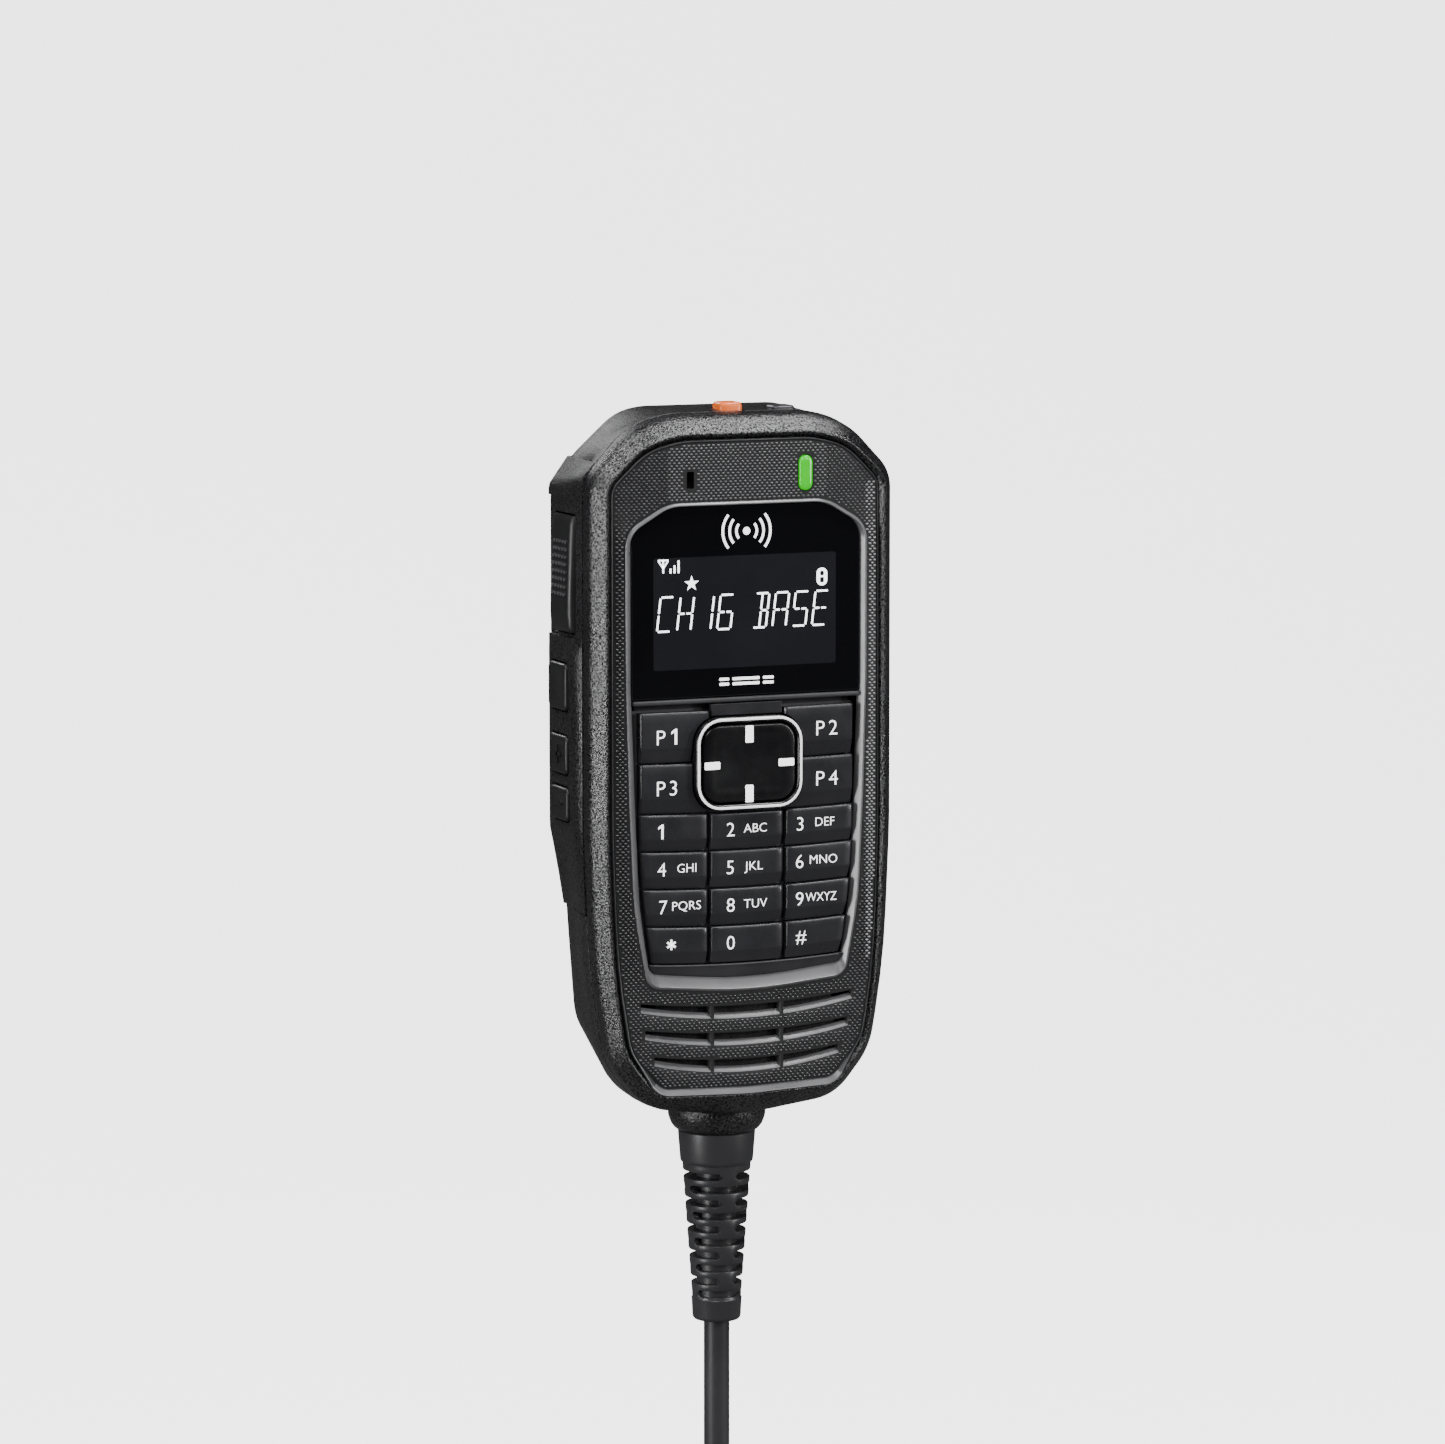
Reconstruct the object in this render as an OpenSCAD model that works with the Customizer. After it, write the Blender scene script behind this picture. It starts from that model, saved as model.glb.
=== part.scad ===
// Hand microphone for a two-way radio: speaker, microphone, display, keypad and side keys.
// Lengths are in millimetres. +Z is up and the keypad faces -Y. The origin is the middle of
// the head of the hanger stud on the back, where a hanger holds the microphone.
// Modules are drawn around the cord's axis, with Z = 0 at the foot of the case, and place()
// moves each of them into the frame of the stud.

/* [Case] */
// Height of the case from its foot to its crown
case_h = 136; // [134:0.5:139]
// Width of the case at its widest
case_w = 62.2; // [61.4:0.2:64]
// Distance of the front face ahead of the cord's axis
front = 15.2; // [15:0.1:16]
// Distance of the back face behind the cord's axis
back = 14.5; // [14.2:0.1:16]
// Wall thickness of the two case halves
wall = 2; // [1.8:0.1:2.1]
// Distance of the parting line ahead of the cord's axis
parting = 8.8; // [8.6:0.1:9]

/* [Keypad] */
// Lower edge of the keypad, at its ends
pad_low = 31.5; // [31:0.1:32]
// Distance from one row of digit keys to the next
row_pitch = 7.15; // [7:0.05:7.2]
// Half width of the keypad at its upper rows
pad_half = 22; // [21.6:0.1:22.2]
// Half width of the middle column of keys
column_half = 7.8; // [7.4:0.1:8]
// Gap between two columns of keys
column_gap = 0.65; // [0.4:0.05:0.8]
// Travel of a keypad key
key_travel = 0.5; // [0.3:0.1:0.5]

/* [Display] */
// Half width of the display window
window_half = 23.5; // [23:0.1:23.6]
// Lower edge of the display window
window_low = 81.8; // [81.6:0.1:82]

/* [Side keys] */
// Travel of the push-to-talk key
talk_travel = 1; // [0.6:0.1:1]
// Travel of the three smaller side keys
side_travel = 0.7; // [0.4:0.1:0.7]

/* [Hanger stud] */
// Height of the stud's axis above the foot of the case
stud_z = 88; // [84:1:92]
// Radius of the stud's head
stud_head_r = 6.5; // [6:0.1:7]
// Radius of the stud's neck
stud_neck_r = 3.5; // [3.2:0.1:3.8]
// Length of the stud's neck
stud_neck = 2.4; // [2.2:0.1:2.8]
// Thickness of the stud's head
stud_head = 2.2; // [2:0.1:2.4]

/* [Cord] */
// Diameter of the cord
cord_d = 5; // [4.8:0.1:5]
// Radius of the coil's outermost turn, at the middle of the cord
turn_r = 30.5; // [30:0.5:32]

/* [Hidden] */

$fn = 48;
eps = 0.05;
gap = 0.3;
half_w = case_w / 2;
cord_r = cord_d / 2;

// Planes of constant Y, from the front to the back of the stack
panel_back = -13.5;
front_inner = -11.9;
recess_y = -14.2;
key_face = -15;
key_back = -13.2;
board_front = -9.6;
board_back = -8.4;

// Rows of the keypad, from the lower edge of the digit keys to the display
row_lines = [pad_low, pad_low + row_pitch, pad_low + 2 * row_pitch, pad_low + 3 * row_pitch,
    pad_low + 4 * row_pitch, 69.7, 79.5];
nav_z = 69.1;
nav_half = [11.2, 8.9];
nav_r = 5;
nav_wall = 1.1;

// Middle of the speaker, the status light, the microphone port and the two top keys
speaker_z = 17.5;
speaker_r = 14;
lens_x = 12;
lens_z = 123.9;
mic_x = -11.7;
mic_z = 123.2;
top_key_y = -5.2;
top_key_x = [0, 11];
screw_sites = [[-19.5, 121.5], [19.5, 121.5], [-22.3, 26.5], [22.3, 26.5]];

// Side keys: lower and upper end of each, and the strip of the side that they share
side_y = [-3.6, 5.4];
side_keys = [[57.8, 64.2], [66.8, 74.2], [79, 88]];
talk_z = [94, 116.2];
stem_r = 1.6;
side_wall_x = -28.6;
switch_top = -26.9;

// Strain relief: end of the top sleeve, first slot, last slot and lower end
relief_top = -4.2;
relief_slots = [-12.2, -14.8, -17.4, -20, -22.6, -25.2, -27.8, -30.4, -33, -35.6];
relief_low = -41.7;

// Coil below the microphone: middle height, first column of turns and number of columns
coil_z = -120;
coil_rows = 3;
coil_columns = 4;
coil_mid_y = (coil_columns - 1) * cord_d / 2;
tail_y = (coil_columns - 1) * cord_d;
// Route of the cord from inside the case to the coil, as [x, y, z]
cord_route = [[0, 0, 7.8], [0, 0, -10], [0, 0, -26], [0, 0, -42], [0, 0, -56], [0, 0, -68],
    [0.6, 0, -73.5], [2.5, 0, -78.3], [5.9, 0, -82.7], [10, 0, -86.8], [15.8, 0, -92.6],
    [21.6, 0, -98.4]];
// Route of the tail from the coil to the plug
tail_route = [[turn_r, tail_y, -120], [turn_r, tail_y, -134], [turn_r, tail_y, -148],
    [turn_r, tail_y, -163]];
plug_z = [-184.5, -163];
plug_half = [5.85, 4];

// ---- Shapes shared by the parts ----

function unit(v) = v / norm(v);
function flat(p) = [p[0], p[1]];

// Arc of n steps that rounds corner b between a and c with radius r, drawn inward by d
function round_corner(a, b, c, r, d, n) =
    let (u = unit(b - a), v = unit(c - b), nu = [u[1], -u[0]], nv = [v[1], -v[0]],
         mid = b - (nu + nv) * r / (1 + nu * nv), start = atan2(nu[1], nu[0]),
         turn = atan2(u[0] * v[1] - u[1] * v[0], u * v))
    [for (k = [0:n]) mid + (r - d) * [cos(start + turn * k / n), sin(start + turn * k / n)]];

// Closed outline through corners given as [x, y, radius, steps], drawn inward by d; a corner
// that turns inward has a negative radius
function rounded(corners, d = 0) =
    let (m = len(corners))
    [for (i = [0:m - 1])
        each round_corner(flat(corners[(i + m - 1) % m]), flat(corners[i]),
            flat(corners[(i + 1) % m]), corners[i][2], d, corners[i][3])];

// Corners of the right half followed by the same corners on the left
function both_sides(half) =
    concat(half, [for (i = [len(half) - 1:-1:0]) [-half[i][0], half[i][1], half[i][2], half[i][3]]]);

// Rectangle with rounded corners
function rect(x0, x1, y0, y1, r) =
    rounded([[x1, y0, r, 4], [x1, y1, r, 4], [x0, y1, r, 4], [x0, y0, r, 4]]);

// Outline of the case seen from the front, drawn inward by d, with its crown and its foot
function case_outline(d, crown, foot) =
    rounded(concat([[0, foot, 60, 3]], both_sides([
        [19.5, 2.9 + foot, 12, 4], [27, 11.5 + foot / 3, 15.5, 4], [29.2, 30, 200, 1],
        [half_w, 60, 200, 1], [half_w, 123.6, 8, 4], [22.3, crown - 2.1, 16, 4],
        [14, crown, 24, 2]])), d);

// Outline of the well that holds the display and the keypad, at its rim and at its floor
function well_rim(d = 0) =
    rounded(concat([[0, 24.7, 90, 2]], both_sides([
        [20.6, 26.6, 3.4, 4], [23.4, 42, 60, 1], [24.3, 62, 60, 1], [24.9, 84, 100, 1],
        [24.9, 113.6, 2.5, 3], [16.5, 118.9, 3.4, 3]])), d);
function well_floor(d = 0) =
    rounded(concat([[0, 27.3, 90, 2]], both_sides([
        [19.9, 29.4, 2.4, 4], [21.9, 42, 60, 1], [22.8, 62, 60, 1], [23.6, 84, 100, 1],
        [23.6, 113.9, 2.2, 3], [16.1, 118.2, 3, 3]])), d);

// Line of keys: z at the ends of the row line that lies at height z, and its sag at x
function row_sag(z) = 0.9 - (z - pad_low) * 0.0156;
function row_line(z, x) = z - row_sag(z) * (1 - pow(x / pad_half, 2));
function pad_side(z) = z > 60 ? pad_half : pad_half - 0.0031 * pow(60 - z, 2);

// Outline of a key between two row lines and between x0 and x1, clear of its neighbours
function key_outline(x0, x1, z0, z1) =
    let (g = gap / 2, steps = 6)
    concat(
        [for (k = [0:steps])
            let (a = max(x0, -pad_side(z0)), b = min(x1, pad_side(z0)), x = a + (b - a) * k / steps)
            [x, row_line(z0, x) + g]],
        [for (k = [steps:-1:0])
            let (a = max(x0, -pad_side(z1)), b = min(x1, pad_side(z1)), x = a + (b - a) * k / steps)
            [x, row_line(z1, x) - g]]);

// Outline of speaker slot i, a shallow smile that is narrower in the lower slots
function slot_half(i) = [22, 21.1, 19.2][i];
function slot_outline(i) =
    let (w = slot_half(i), top = 22.4 - 5.2 * i, steps = 10)
    concat(
        [for (k = [0:steps]) let (x = -w + 2 * w * k / steps) [x, top - 2.5 + 2.3 * pow(x / w, 2)]],
        [for (k = [steps:-1:0]) let (x = -w + 2 * w * k / steps) [x, top + 1.5 * pow(x / w, 2)]]);

module place() translate([0, -(back + stud_neck + stud_head / 2), -stud_z]) children();

// Prisms along Y, X and Z whose outline is seen from the front, from the side or from above
module prism(y0, y1, points)
    translate([0, y1, 0]) rotate([90, 0, 0]) linear_extrude(y1 - y0) polygon(points);
module prism_x(x0, x1, points)
    translate([x0, 0, 0]) rotate([90, 0, 90]) linear_extrude(x1 - x0) polygon(points);
module prism_z(z0, z1, points)
    translate([0, 0, z0]) linear_extrude(z1 - z0) polygon(points);

// Cylinders along Y and X
module rod_y(x, z, r, y0, y1) translate([x, y1, z]) rotate([90, 0, 0]) cylinder(r = r, h = y1 - y0);
module rod_x(y, z, r, x0, x1) translate([x0, y, z]) rotate([0, 90, 0]) cylinder(r = r, h = x1 - x0);

// Box from its lowest to its highest corner
module block(low, high) translate(low) cube(high - low);

// Solid through matched outlines [y, points], from front to back
module loft(sections) {
    n = len(sections[0][1]);
    rings = len(sections);
    points = [for (s = sections) for (p = s[1]) [p[0], s[0], p[1]]];
    sides = [for (s = [0:rings - 2]) for (k = [0:n - 1])
        let (a = s * n + k, b = s * n + (k + 1) % n) each [[a, b, b + n], [a, b + n, a + n]]];
    caps = [[for (k = [n - 1:-1:0]) k], [for (k = [0:n - 1]) (rings - 1) * n + k]];
    polyhedron(points, concat(sides, caps));
}

// Tube of radius r and eight sides swept along a route that stays in a plane of constant Y
module tube(route, r) {
    n = 8;
    last = len(route) - 1;
    function heading(i) = unit(route[min(i + 1, last)] - route[max(i - 1, 0)]);
    points = [for (i = [0:last]) let (h = heading(i), side = unit(cross([0, 1, 0], h)))
        for (k = [0:n - 1]) route[i] + r * (cos(360 * k / n) * side + sin(360 * k / n) * [0, 1, 0])];
    sides = [for (i = [0:last - 1]) for (k = [0:n - 1])
        let (a = i * n + k, b = i * n + (k + 1) % n) each [[a, a + n, b + n], [a, b + n, b]]];
    caps = [[for (k = [0:n - 1]) k], [for (k = [n - 1:-1:0]) last * n + k]];
    polyhedron(points, concat(sides, caps));
}

// ---- Case ----

module front_case() {
    rim = case_outline(2.7, case_h - 1.8, 2.6);
    color("#2b2c2e") place() difference() {
        union() {
            difference() {
                loft([
                    [-front, case_outline(2.5, case_h - 1.8, 2.6)],
                    [-front + 0.9, case_outline(1.6, case_h - 1.7, 2)],
                    [-front + 2.8, case_outline(0.3, case_h - 1.3, 0.7)],
                    [-front + 4, case_outline(0, case_h - 0.9, 0.2)],
                    [-parting - 0.1, case_outline(0, case_h - 0.5, 0)]]);
                prism(front_inner, -parting + 1, case_outline(wall, case_h - 0.9, 0.3));
                prism(-front - 1, panel_back, rim);
            }
            for (s = screw_sites) rod_y(s[0], s[1], 2.9, front_inner - eps, -parting - 0.1);
        }
        well_cut();
        prism(panel_back - 1, front_inner + 1, rect(-19, 19, 8.8, 24, 3));
        prism(panel_back - 1, front_inner + 1, rect(lens_x - 1.7, lens_x + 1.7, lens_z - 3.7,
            lens_z + 3.7, 1.6));
        rod_y(mic_x, mic_z, 1.4, panel_back - 1, front_inner + 1);
        for (s = screw_sites) rod_y(s[0], s[1], 2.05, -11.7, -parting + 1);
        seal_ring(0.55, 1.45, -parting - 1.1, -parting + 1);
    }
}

// Opening in the front wall for the display and the keypad
module well_cut()
    prism(panel_back - 1, front_inner + 1, well_floor(-0.3));

// Ring that follows the parting line, between two distances inside the outline
module seal_ring(d0, d1, y0, y1)
    difference() {
        prism(y0, y1, case_outline(d0, case_h - 0.5, 0));
        prism(y0 - 1, y1 + 1, case_outline(d1, case_h - 0.5, 0));
    }

module front_panel() {
    color("#232425") place() difference() {
        prism(-front, panel_back, case_outline(3.2, case_h - 1.8, 2.6));
        prism(-front - 1, panel_back + 1, well_rim(-0.05));
        for (i = [0:2]) difference() {
            prism(-front - 1, panel_back + 1, slot_outline(i));
            for (side = [-1, 1]) block([side * 7.2 - 0.45, -front - 2, 0], [side * 7.2 + 0.45, 0, 30]);
        }
        prism(-front - 1, panel_back + 1, rect(lens_x - 1.5, lens_x + 1.5, lens_z - 3.5,
            lens_z + 3.5, 1.45));
        prism(-front - 1, panel_back + 1, rect(mic_x - 0.75, mic_x + 0.75, mic_z - 1.6,
            mic_z + 1.6, 0.3));
    }
}

module rear_case() {
    seam = -parting + 0.1;
    color("#28292b") place() difference() {
        union() {
            difference() {
                loft([
                    [seam, case_outline(0, case_h - 0.5, 0)],
                    [-1, case_outline(0, case_h, 0)],
                    [5.5, case_outline(0.2, case_h - 0.5, 0.2)],
                    [9.5, case_outline(1.2, case_h - 1, 0.6)],
                    [12.4, case_outline(3.2, case_h - 1.6, 1)],
                    [14, case_outline(5.4, case_h - 2.2, 1.4)],
                    [back, case_outline(7.4, case_h - 2.6, 1.6)]]);
                prism(seam - 1, 6.5, case_outline(wall + 0.2, case_h - 0.9, 0.4));
                prism(6.4, 10.2, case_outline(wall + 2, case_h - 1.6, 1));
                prism(10.1, back - wall, case_outline(wall + 4.8, case_h - 2.2, 1.6));
                block([-40, seam - 1, 40.3], [side_wall_x, 8.6, 126.9]);
            }
            side_wall();
            neck();
            for (s = screw_sites) rod_y(s[0], s[1], 2.9, seam, back - wall - 0.5);
            rod_y(0, stud_z, 4.5, 7.5, back - wall + eps);
        }
        for (s = screw_sites) {
            rod_y(s[0], s[1], 1.5, seam - 1, back);
            rod_y(s[0], s[1], 2.6, 9.5, back + 2);
        }
        rod_y(0, stud_z, 1.6, 6, back + 1);
        translate([0, 0, relief_top - 1]) cylinder(r = 6.3, h = 12);
        translate([0, 0, 3.2]) cylinder(r = 7.8, h = 5);
        for (x = top_key_x)
            prism_z(120, 140, rect(x - 2.65, x + 2.65, top_key_y - 2.75, top_key_y + 2.75, 1.3));
        side_stems(0.3, -30, -27);
    }
}

// Wall behind the rubber cover on the side that carries the keys
module side_wall()
    intersection() {
        prism(-parting + 0.1, 9, case_outline(0.4, case_h - 0.9, 0.4));
        block([side_wall_x, -20, 38], [side_wall_x + 1.4, 20, 128]);
    }

// Short neck round the cord's outlet; it passes under the front half of the case
module neck() {
    rotate_extrude() polygon([[5, -0.15], [9.5, -0.15], [9.4, -1.4], [8.9, -2.8], [8.2, -3.7],
        [7.5, relief_top], [5, relief_top]]);
    intersection() {
        translate([0, 0, -0.2]) cylinder(r = 9.5, h = 3.4);
        block([-20, -parting + 0.1, -1], [20, 20, 5]);
    }
}

// Stems that pass through the side wall, drawn larger by d
module side_stems(d, x0, x1) {
    mid_y = (side_y[0] + side_y[1]) / 2;
    for (z = [for (k = concat(side_keys, [talk_z])) (k[0] + k[1]) / 2])
        rod_x(mid_y, z, stem_r + d, x0, x1);
}

module case_seal()
    color("#3a3a3a") place() seal_ring(0.6, 1.4, -parting - 1.05, -parting);

module side_cover() {
    body = [[-28.7, 40.5], [-28.7, 126.1], [-31, 123.5], [-31.7, 121.3], [-31.9, 119.8],
        [-31.3, 117.6], [-31.2, 94.6], [-31.9, 92.4], [-32.2, 90.5], [-32.1, 75], [-31.9, 57],
        [-30.3, 46.4], [-29.8, 40.5]];
    color("#242527") place() difference() {
        prism(-parting + 0.2, 8.4, body);
        prism_x(-40, -29, rect(-6, 7.2, 92.8, 119.6, 2));
        for (k = side_keys)
            prism_x(-40, -29.6, rect(side_y[0] - gap, side_y[1] + gap, k[0] - gap, k[1] + gap, 1.4));
        side_stems(0.3, -30, -27);
    }
}

module case_screws()
    color("silver") place() for (s = screw_sites) {
        rod_y(s[0], s[1], 1.25, -11.2, 9.5);
        difference() {
            rod_y(s[0], s[1], 2.4, 9.5, 11.2);
            block([s[0] - 1.7, 10.6, s[1] - 0.25], [s[0] + 1.7, 12, s[1] + 0.25]);
            block([s[0] - 0.25, 10.6, s[1] - 1.7], [s[0] + 0.25, 12, s[1] + 1.7]);
        }
    }

module case_inserts()
    color("goldenrod") place() for (s = screw_sites) difference() {
        rod_y(s[0], s[1], 2, -11.7, -9);
        rod_y(s[0], s[1], 1.3, -12, -8);
    }

// ---- Display ----

module display_window()
    color("#0b0b10") place() intersection() {
        prism(-14.6, -13.1, well_floor(0.1));
        block([-40, -20, window_low + 0.1], [40, 0, 130]);
    }

module lcd_module() {
    color("#15151a") place() {
        prism(-13, -10.9, rect(-20.6, 20.6, 85, 111.6, 0.6));
        prism(-10.9, -10.3, rect(-19.8, 19.8, 85.8, 110.8, 0.6));
    }
}

module lcd_holder() {
    color("#d8d8d4") place() difference() {
        prism(-12.4, board_front, rect(-22.2, 22.2, 83.6, 113, 1));
        prism(-13, -10.2, rect(-20.7, 20.7, 84.9, 111.7, 0.5));
    }
}

// ---- Keypad ----

module keypad_bezel() {
    edge = well_rim(eps);
    color("#55575a") place() {
        difference() {
            prism(-front, panel_back, well_rim());
            loft([[-front - 1, edge], [-front, edge], [recess_y, well_floor()],
                [recess_y + 3, well_floor()]]);
        }
        intersection() {
            prism(recess_y - 0.4, panel_back, well_floor(-0.1));
            union() {
                block([-30, -20, 80.2], [30, 0, window_low]);
                block([-7.3, -20, 78.35], [7.3, 0, 80.4]);
                difference() {
                    block([-30, -20, 20], [30, 0, pad_low]);
                    prism(-20, 0, key_outline(-40, 40, pad_low - gap, pad_low + 20));
                }
            }
        }
    }
}

module keypad_membrane()
    color("#4a4b4e") place() {
        intersection() {
            prism(-12.4, -11.4, well_floor(0.6));
            block([-40, -20, 31.9], [40, 0, 79.6]);
        }
        for (s = key_sites()) rod_y(s[0], s[1], 1.6, -11.4 - eps, -10.2);
    }

// Middles of the digit keys, of the four corner keys and of the four ways of the pad
function key_sites() = concat(
    [for (r = [0:3]) for (x = [-14.6, 0, 14.6]) [x, pad_low + (r + 0.42) * row_pitch]],
    [for (x = [-16.4, 16.4]) for (z = [64.7, 74.4]) [x, z]],
    [[0, nav_z - 5.6], [0, nav_z + 5.6], [-7.4, nav_z], [7.4, nav_z]]);

module key_domes()
    color("silver") place() for (s = key_sites()) rod_y(s[0], s[1], 2.3, board_front - 0.3, board_front);

// Cap of one key; digit keys lie between row lines row and row + 1
module key_cap(x0, x1, z0, z1)
    color("#1d1e20") place() prism(key_face, key_back, key_outline(x0, x1, z0, z1));

module digit_key(row, column) {
    edge = [[-40, -column_half - column_gap / 2], [-column_half + column_gap / 2,
        column_half - column_gap / 2], [column_half + column_gap / 2, 40]][column];
    key_cap(edge[0], edge[1], row_lines[row], row_lines[row + 1]);
}

// Corner key beside the pad: its inner edge is cut round the pad's ring
module corner_key(side, row) {
    inner = column_half;
    color("#1d1e20") place() difference() {
        prism(key_face, key_back, side < 0
            ? key_outline(-40, -inner, row_lines[row], row_lines[row + 1])
            : key_outline(inner, 40, row_lines[row], row_lines[row + 1]));
        prism(-20, 0, rect(-nav_half[0] - gap, nav_half[0] + gap, nav_z - nav_half[1] - gap,
            nav_z + nav_half[1] + gap, nav_r + gap));
    }
}

module key_1() digit_key(3, 0);
module key_2() digit_key(3, 1);
module key_3() digit_key(3, 2);
module key_4() digit_key(2, 0);
module key_5() digit_key(2, 1);
module key_6() digit_key(2, 2);
module key_7() digit_key(1, 0);
module key_8() digit_key(1, 1);
module key_9() digit_key(1, 2);
module key_star() digit_key(0, 0);
module key_0() digit_key(0, 1);
module key_hash() digit_key(0, 2);
module key_p1() corner_key(-1, 5);
module key_p2() corner_key(1, 5);
module key_p3() corner_key(-1, 4);
module key_p4() corner_key(1, 4);

// Rounded square round the middle of the pad, smaller than its ring by d
function nav_outline(d) =
    rect(-nav_half[0] + d, nav_half[0] - d, nav_z - nav_half[1] + d, nav_z + nav_half[1] - d,
        max(nav_r - d, 1));

module nav_ring()
    color("#e8e8e8") place() difference() {
        prism(-16.4, -12.4, nav_outline(0));
        prism(-20, -10, nav_outline(nav_wall));
    }

module nav_pad()
    color("#222326") place() {
        difference() {
            prism(-16.1, -14, nav_outline(nav_wall + 0.4));
            prism(-17, -15.7, nav_outline(nav_wall + 2.6));
        }
        rod_y(0, nav_z, 2, -14 - eps, -13);
    }

module nav_rocker()
    color("#5a5b5e") place() difference() {
        prism(-13.65, -12.95, rect(-4.5, 4.5, nav_z - 4.5, nav_z + 4.5, 1));
        rod_y(0, nav_z, 2.4, -15, -12);
    }

// ---- Board, light, microphone and speaker ----

module main_board()
    color("#1f5a35") place() {
        prism(board_front, board_back, rounded(both_sides([
            [16, 32.2, 2, 3], [22, 40, 3, 3], [22, 114.5, 2, 3], [15, 114.5, -1, 2], [15, 128, 2, 3]])));
        block([-9, board_back - eps, 64], [3, board_back + 1.2, 76]);
        block([6, board_back - eps, 66], [14, board_back + 1, 73]);
        block([-6, board_back - eps, 92], [1, board_back + 0.9, 98]);
        block([-12, board_back - eps, 34], [12, board_back + 3, 38]);
        block([-3, board_front, 127.9], [14, -2.8, 129]);
    }

module status_lens()
    color("#39d63a") place() {
        prism(-front - 0.35, panel_back + 0.1, rect(lens_x - 1.35, lens_x + 1.35, lens_z - 3.32,
            lens_z + 3.32, 1.34));
        prism(panel_back + 0.1 - eps, front_inner, rect(lens_x - 1.6, lens_x + 1.6, lens_z - 3.6,
            lens_z + 3.6, 1.55));
    }

module microphone_capsule()
    color("silver") place() rod_y(mic_x, mic_z, 3, -11.5, -9.8);

module microphone_boot()
    color("#303030") place() difference() {
        rod_y(mic_x, mic_z, 4.2, front_inner, board_front);
        rod_y(mic_x, mic_z, 3.03, -11.53, -9.7);
        rod_y(mic_x, mic_z, 1, -12.5, -9);
    }

// Solid of revolution round the speaker's axis, from points [radius, y]
module speaker_turn(points)
    translate([0, 0, speaker_z]) rotate([-90, 0, 0]) rotate_extrude() polygon(points);

module speaker()
    color("#77797c") place() speaker_turn([[0, -5.4], [7.4, -5.4], [12.6, -10.6], [12.6, -11.7],
        [speaker_r, -11.7], [speaker_r, -10.6], [9.4, -6.2], [9, -5.9], [9, -1.6], [0, -1.6]]);

module speaker_cone()
    color("#3b3b3e") place() speaker_turn([[0, -9.5], [2.6, -9.1], [4, -8.5], [11, -11.1],
        [12.3, -11.6], [12.3, -11.2], [11, -10.7], [4, -8], [0, -8.6]]);

module speaker_mesh()
    color("#303134") place() prism(-13.4, -13.1, rect(-18.9, 18.9, 8.9, 23.9, 2.9));

// ---- Side and top keys ----

// Cap with a stem through the cover, between two heights, from inner out to outer
module side_cap(ends, outer, inner) {
    mid_y = (side_y[0] + side_y[1]) / 2;
    prism_x(outer, inner, rect(side_y[0], side_y[1], ends[0], ends[1], 1.2));
    rod_x(mid_y, (ends[0] + ends[1]) / 2, stem_r, inner - eps, switch_top - gap - side_travel);
}

module talk_button()
    color("#191a1b") place() {
        intersection() {
            prism_x(-34, -30.3, rect(-3.4, 5.6, talk_z[0], talk_z[1], 1.2));
            prism(-20, 20, [[-30, 90], [-30, 120], [-32.2, 120], [-32.2, 116.2], [-32.8, 115],
                [-32.5, 96], [-31.8, talk_z[0]], [-31.8, 90]]);
        }
        rod_x((side_y[0] + side_y[1]) / 2, (talk_z[0] + talk_z[1]) / 2, stem_r, -30.4,
            switch_top - gap - talk_travel);
    }

module volume_down_key() color("#1c1d1f") place() side_cap(side_keys[0], -32.3, -30.6);
module volume_up_key() color("#1c1d1f") place() side_cap(side_keys[1], -32.5, -30.6);
module side_key() color("#1c1d1f") place() side_cap(side_keys[2], -32.6, -30.6);

module side_board()
    color("#1f5a35") place() block([-25.3, -6, 54], [-24.5, 6, 112]);

// Small push switches: four behind the side keys and two under the top keys
module tact_switches()
    color("#9a9a98") place() {
        mid_y = (side_y[0] + side_y[1]) / 2;
        for (k = concat(side_keys, [talk_z])) let (z = (k[0] + k[1]) / 2) {
            block([-26.3, mid_y - 2, z - 2], [-25.3, mid_y + 2, z + 2]);
            rod_x(mid_y, z, 1.1, switch_top, -26.2);
        }
        for (x = top_key_x) {
            block([x - 2, board_back + 0.1, 129], [x + 2, top_key_y + 2, 130]);
            translate([x, top_key_y, 129.9]) cylinder(r = 1.1, h = 0.6);
        }
    }

// Key through the top wall, with a flange inside the case
module roof_key(x, top) {
    prism_z(132.6, top, rect(x - 2.35, x + 2.35, top_key_y - 2.45, top_key_y + 2.45, 1.1));
    prism_z(131.8, 132.7, rect(x - 3, x + 3, top_key_y - 2.9, top_key_y + 3.1, 1.1));
}

module emergency_key() color("#f26a1b") place() roof_key(top_key_x[0], case_h + 1.2);
module top_key() color("#1b1c1d") place() roof_key(top_key_x[1], case_h + 0.2);

// ---- Hanger stud ----

module hanger_stud()
    color("#8d8f92") place() difference() {
        union() {
            rod_y(0, stud_z, stud_neck_r, back, back + stud_neck + eps);
            rod_y(0, stud_z, stud_head_r, back + stud_neck, back + stud_neck + stud_head);
        }
        rod_y(0, stud_z, 1.6, back - 1, back + 6);
        rod_y(0, stud_z, 2.9, back + stud_neck + stud_head - 1.6, back + 6);
    }

module stud_screw()
    color("silver") place() difference() {
        union() {
            rod_y(0, stud_z, 1.55, 8, back + 3.1);
            rod_y(0, stud_z, 2.75, back + 3, back + 4.3);
        }
        block([-1.9, back + 3.8, stud_z - 0.3], [1.9, back + 6, stud_z + 0.3]);
        block([-0.3, back + 3.8, stud_z - 1.9], [0.3, back + 6, stud_z + 1.9]);
    }

// ---- Cord ----

// Outer radius of the slotted stretch of the relief at height z
function relief_r(z) = 6.6 + (z + 11.5) * 0.072;

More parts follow.
